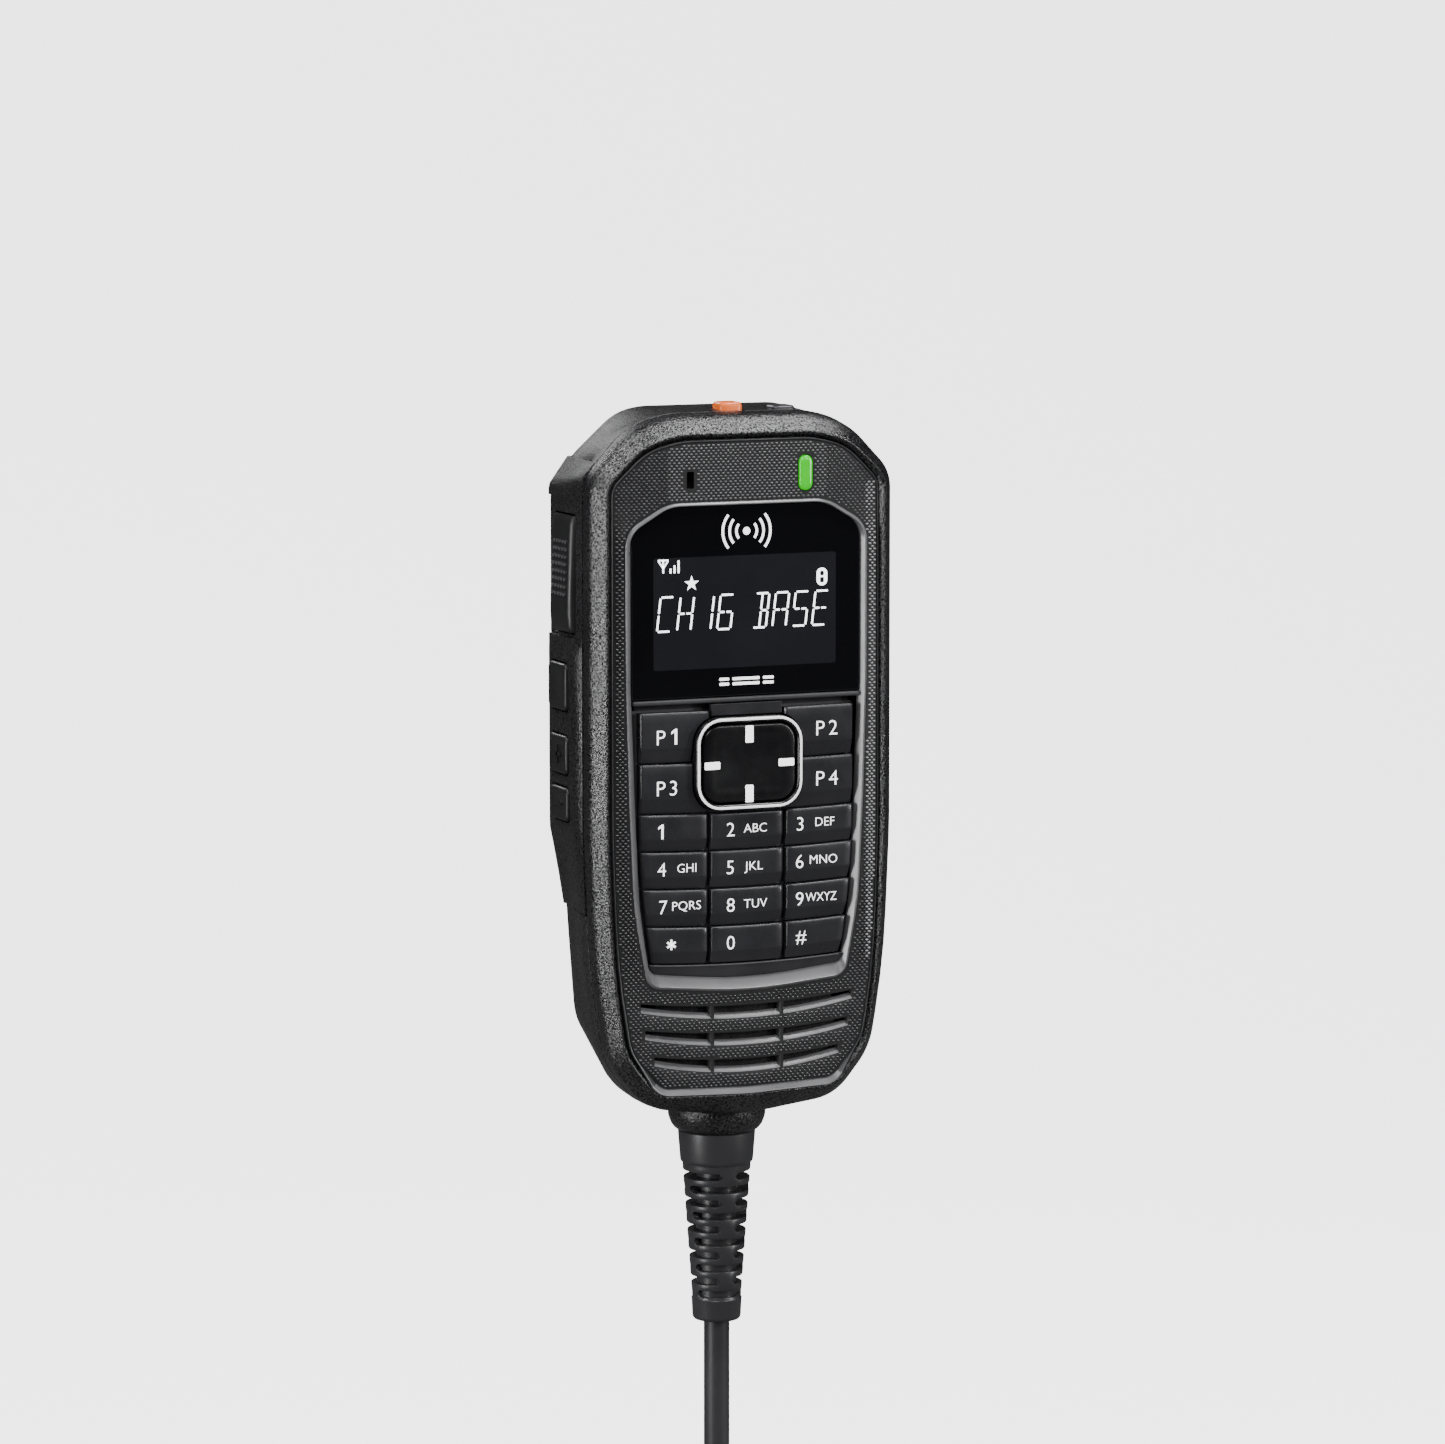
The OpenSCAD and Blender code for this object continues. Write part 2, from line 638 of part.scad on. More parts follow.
module strain_relief() {
    slot_h = 1.15;
    core_r = 3.9;
    color("#161617") place() difference() {
        rotate_extrude() polygon([[cord_r + eps, 4.6], [7.6, 4.6], [7.6, 3.4], [6.2, 3.4],
            [6.2, relief_top], [7.5, relief_top], [7.05, -10.4], [6.6, -11],
            [relief_r(-36.4), -36.4], [4.85, -37], [4.7, -41.2], [4.3, relief_low],
            [cord_r + eps, relief_low]]);
        for (i = [0:len(relief_slots) - 1]) translate([0, 0, relief_slots[i] - slot_h]) difference() {
            cylinder(r = 9, h = slot_h);
            translate([0, 0, -1]) cylinder(r = core_r, h = 4);
            rotate([0, 0, i % 2 == 0 ? 0 : 90]) block([-1.6, -10, -1], [1.6, 10, 4]);
        }
    }
}

module cord_clamp()
    color("#8c8c8a") place() difference() {
        block([-5.5, -4.2, 4.7], [5.5, 4.6, 7.2]);
        translate([0, 0, 4]) cylinder(r = cord_r + eps, h = 5);
    }

module cord() color("#141414") place() tube(cord_route, cord_r);
module cord_tail() color("#141414") place() tube(tail_route, cord_r);

module cord_coil()
    color("#141414") place() translate([0, coil_mid_y, coil_z]) rotate([90, 0, 0])
        rotate_extrude() translate([turn_r + cord_r - coil_rows * cord_d, -coil_columns * cord_d / 2])
            square([coil_rows * cord_d, coil_columns * cord_d]);

module cord_tie() {
    low = turn_r + cord_r - coil_rows * cord_d - 0.4;
    high = turn_r + cord_r + 0.3;
    half = coil_columns * cord_d / 2 + 0.2;
    strap = 1.1;
    color("#2c2c2e") place() translate([0, coil_mid_y, coil_z]) rotate([0, -25, 0])
        difference() {
            block([-3, -half - strap, low - strap], [3, half + strap, high + strap]);
            block([-4, -half, low], [4, half, high]);
        }
}

module plug_body() {
    pitch = 1.02;
    color("#cfd3d6") place() translate([turn_r, tail_y, 0]) difference() {
        block([-plug_half[0], -plug_half[1], plug_z[0]], [plug_half[0], plug_half[1], plug_z[1]]);
        for (k = [0:7]) translate([(k - 3.5) * pitch, 0, 0])
            block([-0.25, 1, plug_z[0] - 1], [0.25, 5, plug_z[0] + 7]);
        block([-2, -5, plug_z[0] + 1], [2, -3.2, plug_z[1] + 1]);
    }
}

module plug_contacts() {
    pitch = 1.02;
    color("goldenrod") place() translate([turn_r, tail_y, 0])
        for (k = [0:7]) translate([(k - 3.5) * pitch, 0, 0])
            block([-0.18, 1, plug_z[0] + 0.6], [0.18, 3.6, plug_z[0] + 6.8]);
}

module plug_latch()
    color("#c4c8cb") place() translate([turn_r, tail_y, 0]) prism_x(-1.6, 1.6, [
        [-4.3, plug_z[0] + 0.6], [-4.3, plug_z[0] + 2.2], [-6.6, plug_z[0] + 17],
        [-7.5, plug_z[0] + 17], [-5.4, plug_z[0] + 5], [-5.2, plug_z[0] + 0.6]]);

module plug_boot()
    color("#1a1a1b") place() translate([turn_r, tail_y, 0]) rotate_extrude() polygon([
        [cord_r + eps, -147], [3.5, -147], [3.9, -152], [4.3, -157], [4.6, -159], [4.6, plug_z[1]],
        [cord_r + eps, plug_z[1]]]);

front_case();
front_panel();
rear_case();
case_seal();
side_cover();
case_screws();
case_inserts();
display_window();
lcd_module();
lcd_holder();
keypad_bezel();
keypad_membrane();
key_domes();
main_board();
key_1();
key_2();
key_3();
key_4();
key_5();
key_6();
key_7();
key_8();
key_9();
key_star();
key_0();
key_hash();
key_p1();
key_p2();
key_p3();
key_p4();
nav_ring();
nav_rocker();
nav_pad();
status_lens();
microphone_capsule();
microphone_boot();
speaker();
speaker_cone();
speaker_mesh();
talk_button();
side_key();
volume_up_key();
volume_down_key();
side_board();
tact_switches();
emergency_key();
top_key();
hanger_stud();
stud_screw();
strain_relief();
cord_clamp();
cord();
cord_coil();
cord_tail();
cord_tie();
plug_body();
plug_contacts();
plug_latch();
plug_boot();
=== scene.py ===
import math

import bmesh
import bpy
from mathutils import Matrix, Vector
from mathutils.geometry import delaunay_2d_cdt


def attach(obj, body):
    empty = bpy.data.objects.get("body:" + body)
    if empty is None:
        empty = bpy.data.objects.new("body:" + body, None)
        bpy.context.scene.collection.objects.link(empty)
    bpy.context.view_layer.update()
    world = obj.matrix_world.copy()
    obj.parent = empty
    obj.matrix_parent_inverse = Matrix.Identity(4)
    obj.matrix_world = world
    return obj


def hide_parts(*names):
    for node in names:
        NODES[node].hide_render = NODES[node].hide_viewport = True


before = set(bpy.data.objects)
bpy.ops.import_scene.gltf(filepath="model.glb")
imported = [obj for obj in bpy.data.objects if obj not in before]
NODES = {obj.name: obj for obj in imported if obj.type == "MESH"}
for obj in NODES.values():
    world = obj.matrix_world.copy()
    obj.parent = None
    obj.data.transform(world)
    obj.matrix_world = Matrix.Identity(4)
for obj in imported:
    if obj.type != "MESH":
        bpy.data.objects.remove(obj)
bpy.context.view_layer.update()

MM = 0.001
# Everything is drawn in millimetres with the cord's axis at x = 0, y = 0, the foot of the case at z = 0
# and the keypad toward -y. ORIGIN is where the part's own origin lies in that drawing.
ORIGIN = (0, 18, 88)


def at(p):
    """A drawn point in millimetres as a point of the part's frame in metres."""
    return Vector([(p[k] - ORIGIN[k]) * MM for k in range(3)])


# ---------------- camera

AIM = at((1.25, 0, 75))
AZ, EL, DIST = math.radians(-23), math.radians(7.07), 1.203
toward = Vector((math.sin(AZ) * math.cos(EL), -math.cos(AZ) * math.cos(EL), math.sin(EL)))
cam_data = bpy.data.cameras.new("camera")
cam_data.lens = 155.9
cam_data.sensor_width = 36
cam_data.clip_start = 0.01
camera = bpy.data.objects.new("camera", cam_data)
bpy.context.scene.collection.objects.link(camera)
camera.location = AIM + toward * DIST
camera.rotation_euler = toward.to_track_quat("Z", "Y").to_euler()
bpy.context.scene.camera = camera


# ---------------- materials

def nodes_of(mat):
    mat.use_nodes = True
    nt = mat.node_tree
    return nt, nt.nodes["Principled BSDF"]


def put(nt, kind, **values):
    n = nt.nodes.new(kind)
    for k, v in values.items():
        if hasattr(n, k):
            setattr(n, k, v)
        else:
            n.inputs[k.replace("_", " ")].default_value = v
    return n


def spread(nt, source, low, high, start=0.3, end=0.7):
    """Stretches the middle of a noise's range to low..high."""
    n = put(nt, "ShaderNodeMapRange", From_Min=start, From_Max=end, To_Min=low, To_Max=high)
    nt.links.new(source, n.inputs["Value"])
    return n.outputs["Result"]


def surface(name, color, rough, vary=0.25, vary_scale=60, grain=(2400, 0.5, 0.05), coat=0,
            metal=0, spec=0.5, rough_vary=0.08, specks=0, emit=None, glass=0, alpha=1):
    """Procedural finish: a colour and a roughness that drift over centimetres, and a fine grain.

    grain is the scale, strength and depth in mm of the bump. specks is how strongly the grain also
    changes the colour and the highlights.
    """
    mat = bpy.data.materials.new(name)
    nt, bsdf = nodes_of(mat)
    link = nt.links.new
    coord = put(nt, "ShaderNodeTexCoord").outputs["Object"]
    broad = put(nt, "ShaderNodeTexNoise", Scale=vary_scale, Detail=4, Roughness=0.6)
    fine = put(nt, "ShaderNodeTexNoise", Scale=grain[0], Detail=3, Roughness=0.55)
    for noise in (broad, fine):
        link(coord, noise.inputs["Vector"])
    value = spread(nt, broad.outputs["Fac"], 1 - vary, 1 + vary)
    bsdf.inputs["Specular IOR Level"].default_value = spec
    if specks:
        spots = spread(nt, fine.outputs["Fac"], 1 - specks, 1 + specks, 0.35, 0.65)
        both = put(nt, "ShaderNodeMath", operation="MULTIPLY")
        link(value, both.inputs[0])
        link(spots, both.inputs[1])
        value = both.outputs["Value"]
        gloss = put(nt, "ShaderNodeMath", operation="MULTIPLY")
        link(spots, gloss.inputs[0])
        gloss.inputs[1].default_value = spec
        link(gloss.outputs["Value"], bsdf.inputs["Specular IOR Level"])
    tint = put(nt, "ShaderNodeVectorMath", operation="SCALE")
    tint.inputs[0].default_value = color
    link(value, tint.inputs["Scale"])
    link(tint.outputs["Vector"], bsdf.inputs["Base Color"])
    low, high = max(0.02, rough - rough_vary), min(1, rough + rough_vary)
    link(spread(nt, broad.outputs["Fac"], low, high), bsdf.inputs["Roughness"])
    bump = put(nt, "ShaderNodeBump", Strength=grain[1], Distance=grain[2] * MM)
    link(fine.outputs["Fac"], bump.inputs["Height"])
    link(bump.outputs["Normal"], bsdf.inputs["Normal"])
    bsdf.inputs["Metallic"].default_value = metal
    if coat:
        bsdf.inputs["Coat Weight"].default_value = coat
        bsdf.inputs["Coat Roughness"].default_value = 0.05
    if glass:
        bsdf.inputs["Transmission Weight"].default_value = glass
        bsdf.inputs["IOR"].default_value = 1.49
    if emit:
        bsdf.inputs["Emission Color"].default_value = (*emit[0], 1)
        bsdf.inputs["Emission Strength"].default_value = emit[1]
    mat.diffuse_color = (*color, alpha)
    return mat


def bare_metal(name, color, rough):
    return surface(name, color, rough, 0.12, 200, (5200, 0.2, 0.02), metal=1)


TEXTURED, MATT, SATIN, FINE = (2600, 1, 0.15), (2600, 0.3, 0.03), (2600, 0.3, 0.02), (3000, 0.2, 0.02)
M = {
    "case": surface("case_texture", (0.008, 0.008, 0.009), 0.29, 0.1, 40, (2600, 1, 0.16), specks=0.9,
                    spec=0.9),
    "rear": surface("case_texture_rear", (0.011, 0.011, 0.012), 0.32, 0.1, 40, TEXTURED, specks=0.8, spec=0.7),
    "panel": surface("panel_floor", (0.004, 0.004, 0.005), 0.6, 0.1, 60, MATT),
    # Lighter copies of the dots' plastic: painted highlights on the dots beside the display and along the right-hand
    # edge.
    "light_dots": surface("panel_dots_painted_highlight_upper", (0.11, 0.11, 0.115), 0.34, 0.12, 60, SATIN, spec=0.8),
    "edge_dots": surface("panel_dots_painted_highlight_edge", (0.3, 0.3, 0.31), 0.32, 0.12, 60, SATIN, spec=0.9),
    "dots": surface("panel_dots", (0.03, 0.03, 0.033), 0.28, 0.12, 60, SATIN, spec=0.9),
    "rim": surface("panel_rim", (0.045, 0.046, 0.048), 0.36, 0.08, 80, (2600, 0.25, 0.02), spec=0.6),
    # Also laid on the panel's foot band, the slot ledges and the strip along the keypad sill as painted highlights.
    "trim": surface("trim_grey", (0.15, 0.15, 0.155), 0.34, 0.08, 80, (3000, 0.2, 0.015), spec=0.6, metal=0.2),
    "window": surface("window_gloss", (0.0045, 0.0045, 0.006), 0.1, 0.1, 30, (1800, 0.02, 0.01), coat=0.6,
                      rough_vary=0.03, spec=0.3),
    "lcd": surface("lcd_face", (0.014, 0.014, 0.018), 0.22, 0.06, 50, (6000, 0.05, 0.01), coat=0.3,
                   rough_vary=0.03, spec=0.3),
    # White print with a painted glow that brightens it.
    "ink": surface("white_ink_painted_glow", (0.78, 0.78, 0.78), 0.5, 0.03, 90, (4000, 0.1, 0.01),
                   emit=((0.9, 0.9, 0.9), 2.2)),
    "glyph": surface("lit_glyph", (0.8, 0.8, 0.82), 0.4, 0.03, 90, (5000, 0.1, 0.01),
                     emit=((0.92, 0.94, 1), 3)),
    "key": surface("key_satin", (0.024, 0.024, 0.028), 0.3, 0.12, 90, (3200, 0.25, 0.02)),
    # White ring with a painted glow that brightens it.
    "ring": surface("nav_white", (0.8, 0.8, 0.8), 0.25, 0.04, 90, (3000, 0.1, 0.01), coat=0.5,
                    emit=((1, 1, 1), 1)),
    "pad": surface("nav_pad_satin", (0.006, 0.006, 0.007), 0.26, 0.12, 90, (3200, 0.2, 0.015)),
    "lens": surface("lens_green", (0.01, 0.5, 0.004), 0.22, 0.1, 500, (1500, 0.1, 0.02), coat=0.4,
                    emit=((0.02, 0.9, 0.004), 0.42)),
    "side": surface("side_rubber", (0.01, 0.01, 0.011), 0.36, 0.12, 50, TEXTURED, specks=0.8, spec=0.6),
    "cap": surface("side_key_rubber", (0.012, 0.012, 0.013), 0.38, 0.1, 70, (3000, 0.35, 0.03), spec=0.4),
    # Lighter copy of the side key rubber for the talk key's ribs, a painted highlight.
    "rib": surface("side_key_ribs_painted_highlight", (0.06, 0.06, 0.064), 0.34, 0.1, 70, (3000, 0.35, 0.03), spec=0.8),
    "orange": surface("orange_key", (0.95, 0.16, 0.01), 0.35, 0.06, 90, FINE, coat=0.3),
    "relief": surface("relief_black", (0.034, 0.034, 0.037), 0.4, 0.1, 60, (2600, 0.25, 0.02)),
    "cord": surface("cord_black", (0.03, 0.03, 0.033), 0.42, 0.1, 60, (2600, 0.3, 0.025)),
    "stud": bare_metal("stud_metal", (0.36, 0.36, 0.37), 0.32),
    "steel": bare_metal("steel_plated", (0.55, 0.55, 0.56), 0.3),
    "brass": bare_metal("brass_turned", (0.72, 0.52, 0.22), 0.28),
    "can": bare_metal("aluminium_can", (0.68, 0.68, 0.7), 0.3),
    "frame": surface("speaker_frame", (0.2, 0.2, 0.21), 0.35, 0.1, 120, FINE, metal=0.8),
    "film": surface("speaker_film", (0.035, 0.035, 0.04), 0.35, 0.1, 120, FINE),
    "cloth": surface("mesh_cloth", (0.008, 0.008, 0.008), 0.85, 0.15, 200, (4500, 0.8, 0.08), specks=0.5),
    "seal": surface("seal_rubber", (0.02, 0.02, 0.02), 0.7, 0.1, 100, MATT),
    "silicone": surface("silicone", (0.07, 0.07, 0.075), 0.6, 0.1, 100, MATT),
    "white": surface("white_plastic", (0.7, 0.7, 0.67), 0.45, 0.05, 100, MATT),
    "glass": surface("lcd_glass", (0.02, 0.02, 0.025), 0.1, 0.05, 60, (3000, 0.05, 0.01), coat=1),
    "board": surface("board_green", (0.015, 0.1, 0.045), 0.4, 0.2, 300, (1800, 0.3, 0.03), coat=0.3),
    "grey": surface("grey_plastic", (0.12, 0.12, 0.125), 0.5, 0.08, 100, MATT),
    "tie": surface("tie_fabric", (0.022, 0.022, 0.024), 0.85, 0.15, 150, (2400, 1, 0.25), specks=0.4),
    "clear": surface("plug_clear", (0.86, 0.89, 0.9), 0.12, 0.03, 60, (1800, 0.1, 0.01), glass=0.92,
                     rough_vary=0.03, alpha=0.5),
}


# ---------------- mesh helpers

def new_object(name, me):
    obj = bpy.data.objects.new(name, me)
    bpy.context.scene.collection.objects.link(obj)
    return obj


def soften(me, angle=34):
    """Smooth shading with sharp edges where faces meet at more than the angle."""
    bm = bmesh.new()
    bm.from_mesh(me)
    bmesh.ops.recalc_face_normals(bm, faces=bm.faces)
    for f in bm.faces:
        f.smooth = True
    limit = math.radians(angle)
    for e in bm.edges:
        e.smooth = not (len(e.link_faces) == 2 and e.calc_face_angle(0) > limit)
    bm.to_mesh(me)
    bm.free()


def weld(me, dist, flat=None):
    """Joins points closer than dist, and faces that meet at less than flat degrees."""
    bm = bmesh.new()
    bm.from_mesh(me)
    bmesh.ops.remove_doubles(bm, verts=bm.verts, dist=dist)
    if flat:
        bmesh.ops.dissolve_limit(bm, angle_limit=math.radians(flat), verts=bm.verts, edges=bm.edges)
    bm.to_mesh(me)
    bm.free()


def build(name, parts, angle=34):
    """One object from (vertices, faces, material) groups, in millimetres round the cord's axis."""
    verts, faces, marks, mats = [], [], [], []
    for vs, fs, mat in parts:
        if mat not in mats:
            mats.append(mat)
        base = len(verts)
        verts += [at(v) for v in vs]
        faces += [[base + i for i in face] for face in fs]
        marks += [mats.index(mat)] * len(fs)
    me = bpy.data.meshes.new(name)
    me.from_pydata(verts, [], faces)
    for mat in mats:
        me.materials.append(M[mat])
    me.polygons.foreach_set("material_index", marks)
    me.update()
    soften(me, angle)
    return new_object(name, me)


def settle(obj, angle=34):
    """Applies the modifiers of obj to its mesh."""
    graph = bpy.context.evaluated_depsgraph_get()
    graph.update()
    me = bpy.data.meshes.new_from_object(obj.evaluated_get(graph))
    obj.modifiers.clear()
    old = obj.data
    obj.data = me
    bpy.data.meshes.remove(old)
    soften(me, angle)
    return obj


def bevel(obj, width, segments=2, angle=30, soft=34):
    m = obj.modifiers.new("bevel", "BEVEL")
    m.width = width * MM
    m.segments = segments
    m.limit_method = "ANGLE"
    m.angle_limit = math.radians(angle)
    m.use_clamp_overlap = True
    return settle(obj, soft)


def cut(obj, *cutters):
    for c in cutters:
        m = obj.modifiers.new("cut", "BOOLEAN")
        m.operation = "DIFFERENCE"
        m.solver = "EXACT"
        m.object = c
    settle(obj)
    for c in cutters:
        bpy.data.objects.remove(c)
    return obj


def hand_in(obj, body, slot, *nodes):
    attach(obj, body)
    if nodes:
        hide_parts(*nodes)
    return obj


def piece(name, parts, body, slot, *nodes, angle=34, edge=None):
    """Builds a piece, bevels its edges if edge gives the bevel's values, attaches it to its body and hides the CAD
    nodes that it replaces.
    """
    obj = build(name, parts, angle)
    if edge:
        bevel(obj, *edge)
    return hand_in(obj, body, slot, *nodes)


def loft(rings, caps=(True, True), closed=False):
    """Vertices and faces through rings of matched points."""
    n, m = len(rings[0]), len(rings)
    verts = [p for r in rings for p in r]
    faces = []
    for i in range(m if closed else m - 1):
        for k in range(n):
            a, b = i * n + k, i * n + (k + 1) % n
            c, d = ((i + 1) % m) * n + (k + 1) % n, ((i + 1) % m) * n + k
            faces.append([a, b, c, d])
    if caps[0] and not closed:
        faces.append(list(range(n))[::-1])
    if caps[1] and not closed:
        faces.append([(m - 1) * n + k for k in range(n)])
    return verts, faces


def level(points, y):
    """Outline points (x, z) at depth y."""
    return [(p[0], y, p[1]) for p in points]


def rounded(corners, d=0, fine=1):
    """Closed convex outline through corners (x, z, radius, steps), drawn inward by d."""
    out = []
    m = len(corners)
    for i, (x, z, r, n) in enumerate(corners):
        a, b = Vector(corners[i - 1][:2]), Vector((x, z))
        c = Vector(corners[(i + 1) % m][:2])
        u, v = (b - a).normalized(), (c - b).normalized()
        nu, nv = Vector((u.y, -u.x)), Vector((v.y, -v.x))
        mid = b - (nu + nv) * (r / (1 + nu.dot(nv)))
        start = math.atan2(nu.y, nu.x)
        turn = math.atan2(u.x * v.y - u.y * v.x, u.dot(v))
        for k in range(n * fine + 1):
            t = start + turn * k / (n * fine)
            out.append((mid.x + (r - d) * math.cos(t), mid.y + (r - d) * math.sin(t)))
    return out


def both_sides(half):
    """Corners of the right-hand half with their mirror images, from the foot up and down again."""
    return half + [(-x, z, r, n) for x, z, r, n in reversed(half)]


def rect(x0, x1, z0, z1, r, steps=6):
    return rounded([(x1, z0, r, steps), (x1, z1, r, steps), (x0, z1, r, steps), (x0, z0, r, steps)])


def mix(a, b, t):
    return a + (b - a) * t


def clamp(t):
    return min(1, max(0, t))


def ease(t):
    return t * t * (3 - 2 * t)


def circle(r, n, z):
    """Ring of n points of radius r about the cord's axis at height z."""
    return [(r * math.cos(2 * math.pi * k / n), r * math.sin(2 * math.pi * k / n), z) for k in range(n)]


def chamfer(y):
    """How far the upper corners have turned into the flat chamfers of the back half at depth y."""
    return clamp((y + 8.8) / 13.8)


def slim(y):
    """How far the lower flanks have drawn in toward the back at depth y."""
    return ease(clamp((y + 8) / 14))


def case_outline(d, crown, foot, t=0, s=0, q=0):
    """Outline of the case: t chamfers the upper corners, s draws in the lower flanks, q squares the foot."""
    return rounded([(0, foot, 60, 3)] + both_sides([
        (mix(19.5, 18.4, s) + 0.4 * q, mix(2.9, 2.4, s) - 2.2 * q + foot, mix(12, 9, s) - 4 * q, 4),
        (mix(27, 26.8, s) + 0.4 * q, mix(11.5, 18.2, s) + 0.6 * q + foot / 3, mix(15.5, 12, s) - 2.5 * q, 4),
        (mix(30, 28, s) + 0.2 * q, mix(29, 34, s), mix(160, 100, s), 1),
        (mix(31.15, 29.8, s), mix(55, 60, s), mix(200, 100, s), 1),
        (31.1, mix(123.6, 121.3, t), mix(8, 9, t), 4),
        (mix(22.3, 26.8, t), mix(crown - 2.1, 86.4 + 0.3 * crown, t), 16, 4),
        (mix(14, 17, t), crown - mix(0, 0.2, t), mix(24, 12, t), 2)]), d, 3)


def well_rim(d=0):
    """Outer edge of the trim round the display and the keypad."""
    return rounded([(0, 24.7, 90, 2)] + both_sides([
        (20.6, 26.6, 3.4, 4), (23.4, 42, 60, 1), (24.3, 62, 60, 1), (24.9, 84, 100, 1), (24.9, 113.8, 5.5, 4),
        (16.2, 119, 9, 3)]), d, 2)


def well_floor(d=0):
    """Inner edge of that trim."""
    return rounded([(0, 27.3, 90, 2)] + both_sides([
        (19.9, 29.4, 2.4, 4), (21.9, 42, 60, 1), (22.8, 62, 60, 1), (23.6, 84, 100, 1), (23.6, 113.9, 5, 4),
        (16, 118.2, 8.5, 3)]), d, 2)


def prism(points, y0, y1):
    return loft([level(points, y0), level(points, y1)])


def along(axis, points, a, b):
    """Prism along X, Y or Z of an outline in the other two directions."""
    if axis == "x":
        return loft([[(a, p[0], p[1]) for p in points], [(b, p[0], p[1]) for p in points]])
    if axis == "z":
        return loft([[(p[0], p[1], a) for p in points], [(p[0], p[1], b) for p in points]])
    return prism(points, a, b)


def box(low, high):
    (x0, y0, z0), (x1, y1, z1) = low, high
    vs = [(x, y, z) for x in (x0, x1) for y in (y0, y1) for z in (z0, z1)]
    return vs, [[0, 1, 3, 2], [4, 6, 7, 5], [0, 4, 5, 1], [2, 3, 7, 6], [0, 2, 6, 4], [1, 5, 7, 3]]


def spun(profile, steps=64, axis="z", centre=(0, 0, 0), closed=True):
    """Solid of revolution of (radius, height) points about an axis."""
    rings = []
    for r, h in profile:
        ring = []
        for k in range(steps):
            t = 2 * math.pi * k / steps
            c, s = r * math.cos(t), r * math.sin(t)
            p = {"z": (c, s, h), "y": (c, h, s), "x": (h, c, s)}[axis]
            ring.append(tuple(p[j] + centre[j] for j in range(3)))
        rings.append(ring)
    return loft(rings, caps=(not closed, not closed), closed=closed)


def inside(p, poly):
    """True if point (x, z) lies in the polygon."""
    x, z = p
    hit = False
    j = len(poly) - 1
    for i in range(len(poly)):
        xi, zi = poly[i]
        xj, zj = poly[j]
        if (zi > z) != (zj > z) and x < (xj - xi) * (z - zi) / (zj - zi) + xi:
            hit = not hit
        j = i
    return hit


def filled(outer, holes, creases=()):
    """Triangles of an outline with holes, as (points, faces), with every outline's points first and in order."""
    pts, edges = [], []
    for loop in [outer] + list(holes):
        base = len(pts)
        pts += [Vector(p) for p in loop]
        edges += [(base + k, base + (k + 1) % len(loop)) for k in range(len(loop))]
    for a, b in creases:
        base = len(pts)
        pts += [Vector(a), Vector(b)]
        edges.append((base, base + 1))
    vs, _, fs, _, _, _ = delaunay_2d_cdt(pts, edges, [], 0, 1e-5)
    vs = [tuple(v) for v in vs]
    keep = []
    for face in fs:
        c = (sum(vs[i][0] for i in face) / len(face), sum(vs[i][1] for i in face) / len(face))
        if inside(c, outer) and not any(inside(c, h) for h in holes):
            keep.append(list(face))
    return vs, keep


# ---------------- cord

COIL = (0, 7.5, -120)
CORD_R, SLEEVE_END, BOOT_TOP, PLUG_X, PLUG_Y = 2.5, -41.7, -147, 30.5, 15
ROUTE = [(0, 0, SLEEVE_END), (0, 0, -56), (0, 0, -68), (0.6, 0, -73.5), (2.5, 0, -78.3), (5.9, 0, -82.7),
         (10, 0, -86.8), (15.8, 0, -92.6)]
# Radius and depth of each turn of the coil, from the first to the last
TURNS = [(30.5, 0), (25.5, 0), (20.5, 0), (20.5, 5), (25.5, 5), (30.5, 5), (30.5, 10), (25.5, 10), (25.5, 15),
         (30.5, 15)]
CROSSING = 60


def coil_points():
    """Turns of the coil from the upper right, clockwise seen from the front, to the right-hand side.

    At the start of each turn, the cord crosses to the next radius and depth. It bows by 1.9 mm
    where it changes its depth, to stay clear of its neighbours.
    """
    points = []
    for step in range(329):
        angle = 45 - 10 * step
        passed = (-120 - angle) / 360
        turn = math.floor(passed) if passed >= 0 else -1
        into = (passed - turn) * 360
        if turn < 0 or turn >= 9 or into >= CROSSING:
            r, y = TURNS[min(turn + 1, 9)]
        else:
            (r0, y0), (r1, y1) = TURNS[turn], TURNS[turn + 1]
            share = ease(into / CROSSING)
            r, y = mix(r0, r1, share), mix(y0, y1, share)
            if y0 != y1:
                r += (1.9 if r0 > 28 else -1.9) * math.sin(math.pi * share)
        a = math.radians(angle)
        points.append((r * math.cos(a), y, COIL[2] + r * math.sin(a)))
    return points


path = ROUTE + coil_points() + [(PLUG_X, PLUG_Y, z) for z in (-134, -147.5, -156, -163)]
curve = bpy.data.curves.new("cord", "CURVE")
curve.dimensions = "3D"
curve.bevel_depth = CORD_R * MM
curve.bevel_resolution = 5
curve.use_fill_caps = True
spline = curve.splines.new("POLY")
spline.points.add(len(path) - 1)
for sp, p in zip(spline.points, path):
    sp.co = (*at(p), 1)
spline.use_smooth = True
curve.materials.append(M["cord"])
cord = new_object("cord_run", curve)
hand_in(cord, "case", "cord_black", "cord", "cord_coil", "cord_tail")


# ---------------- case

def ring_set(rows):
    """Outlines of the case at (y, inset, crown, foot)."""
    return [level(case_outline(d, crown, foot, chamfer(y), slim(y), clamp((-11.2 - y) / 4)), y)
            for y, d, crown, foot in rows]


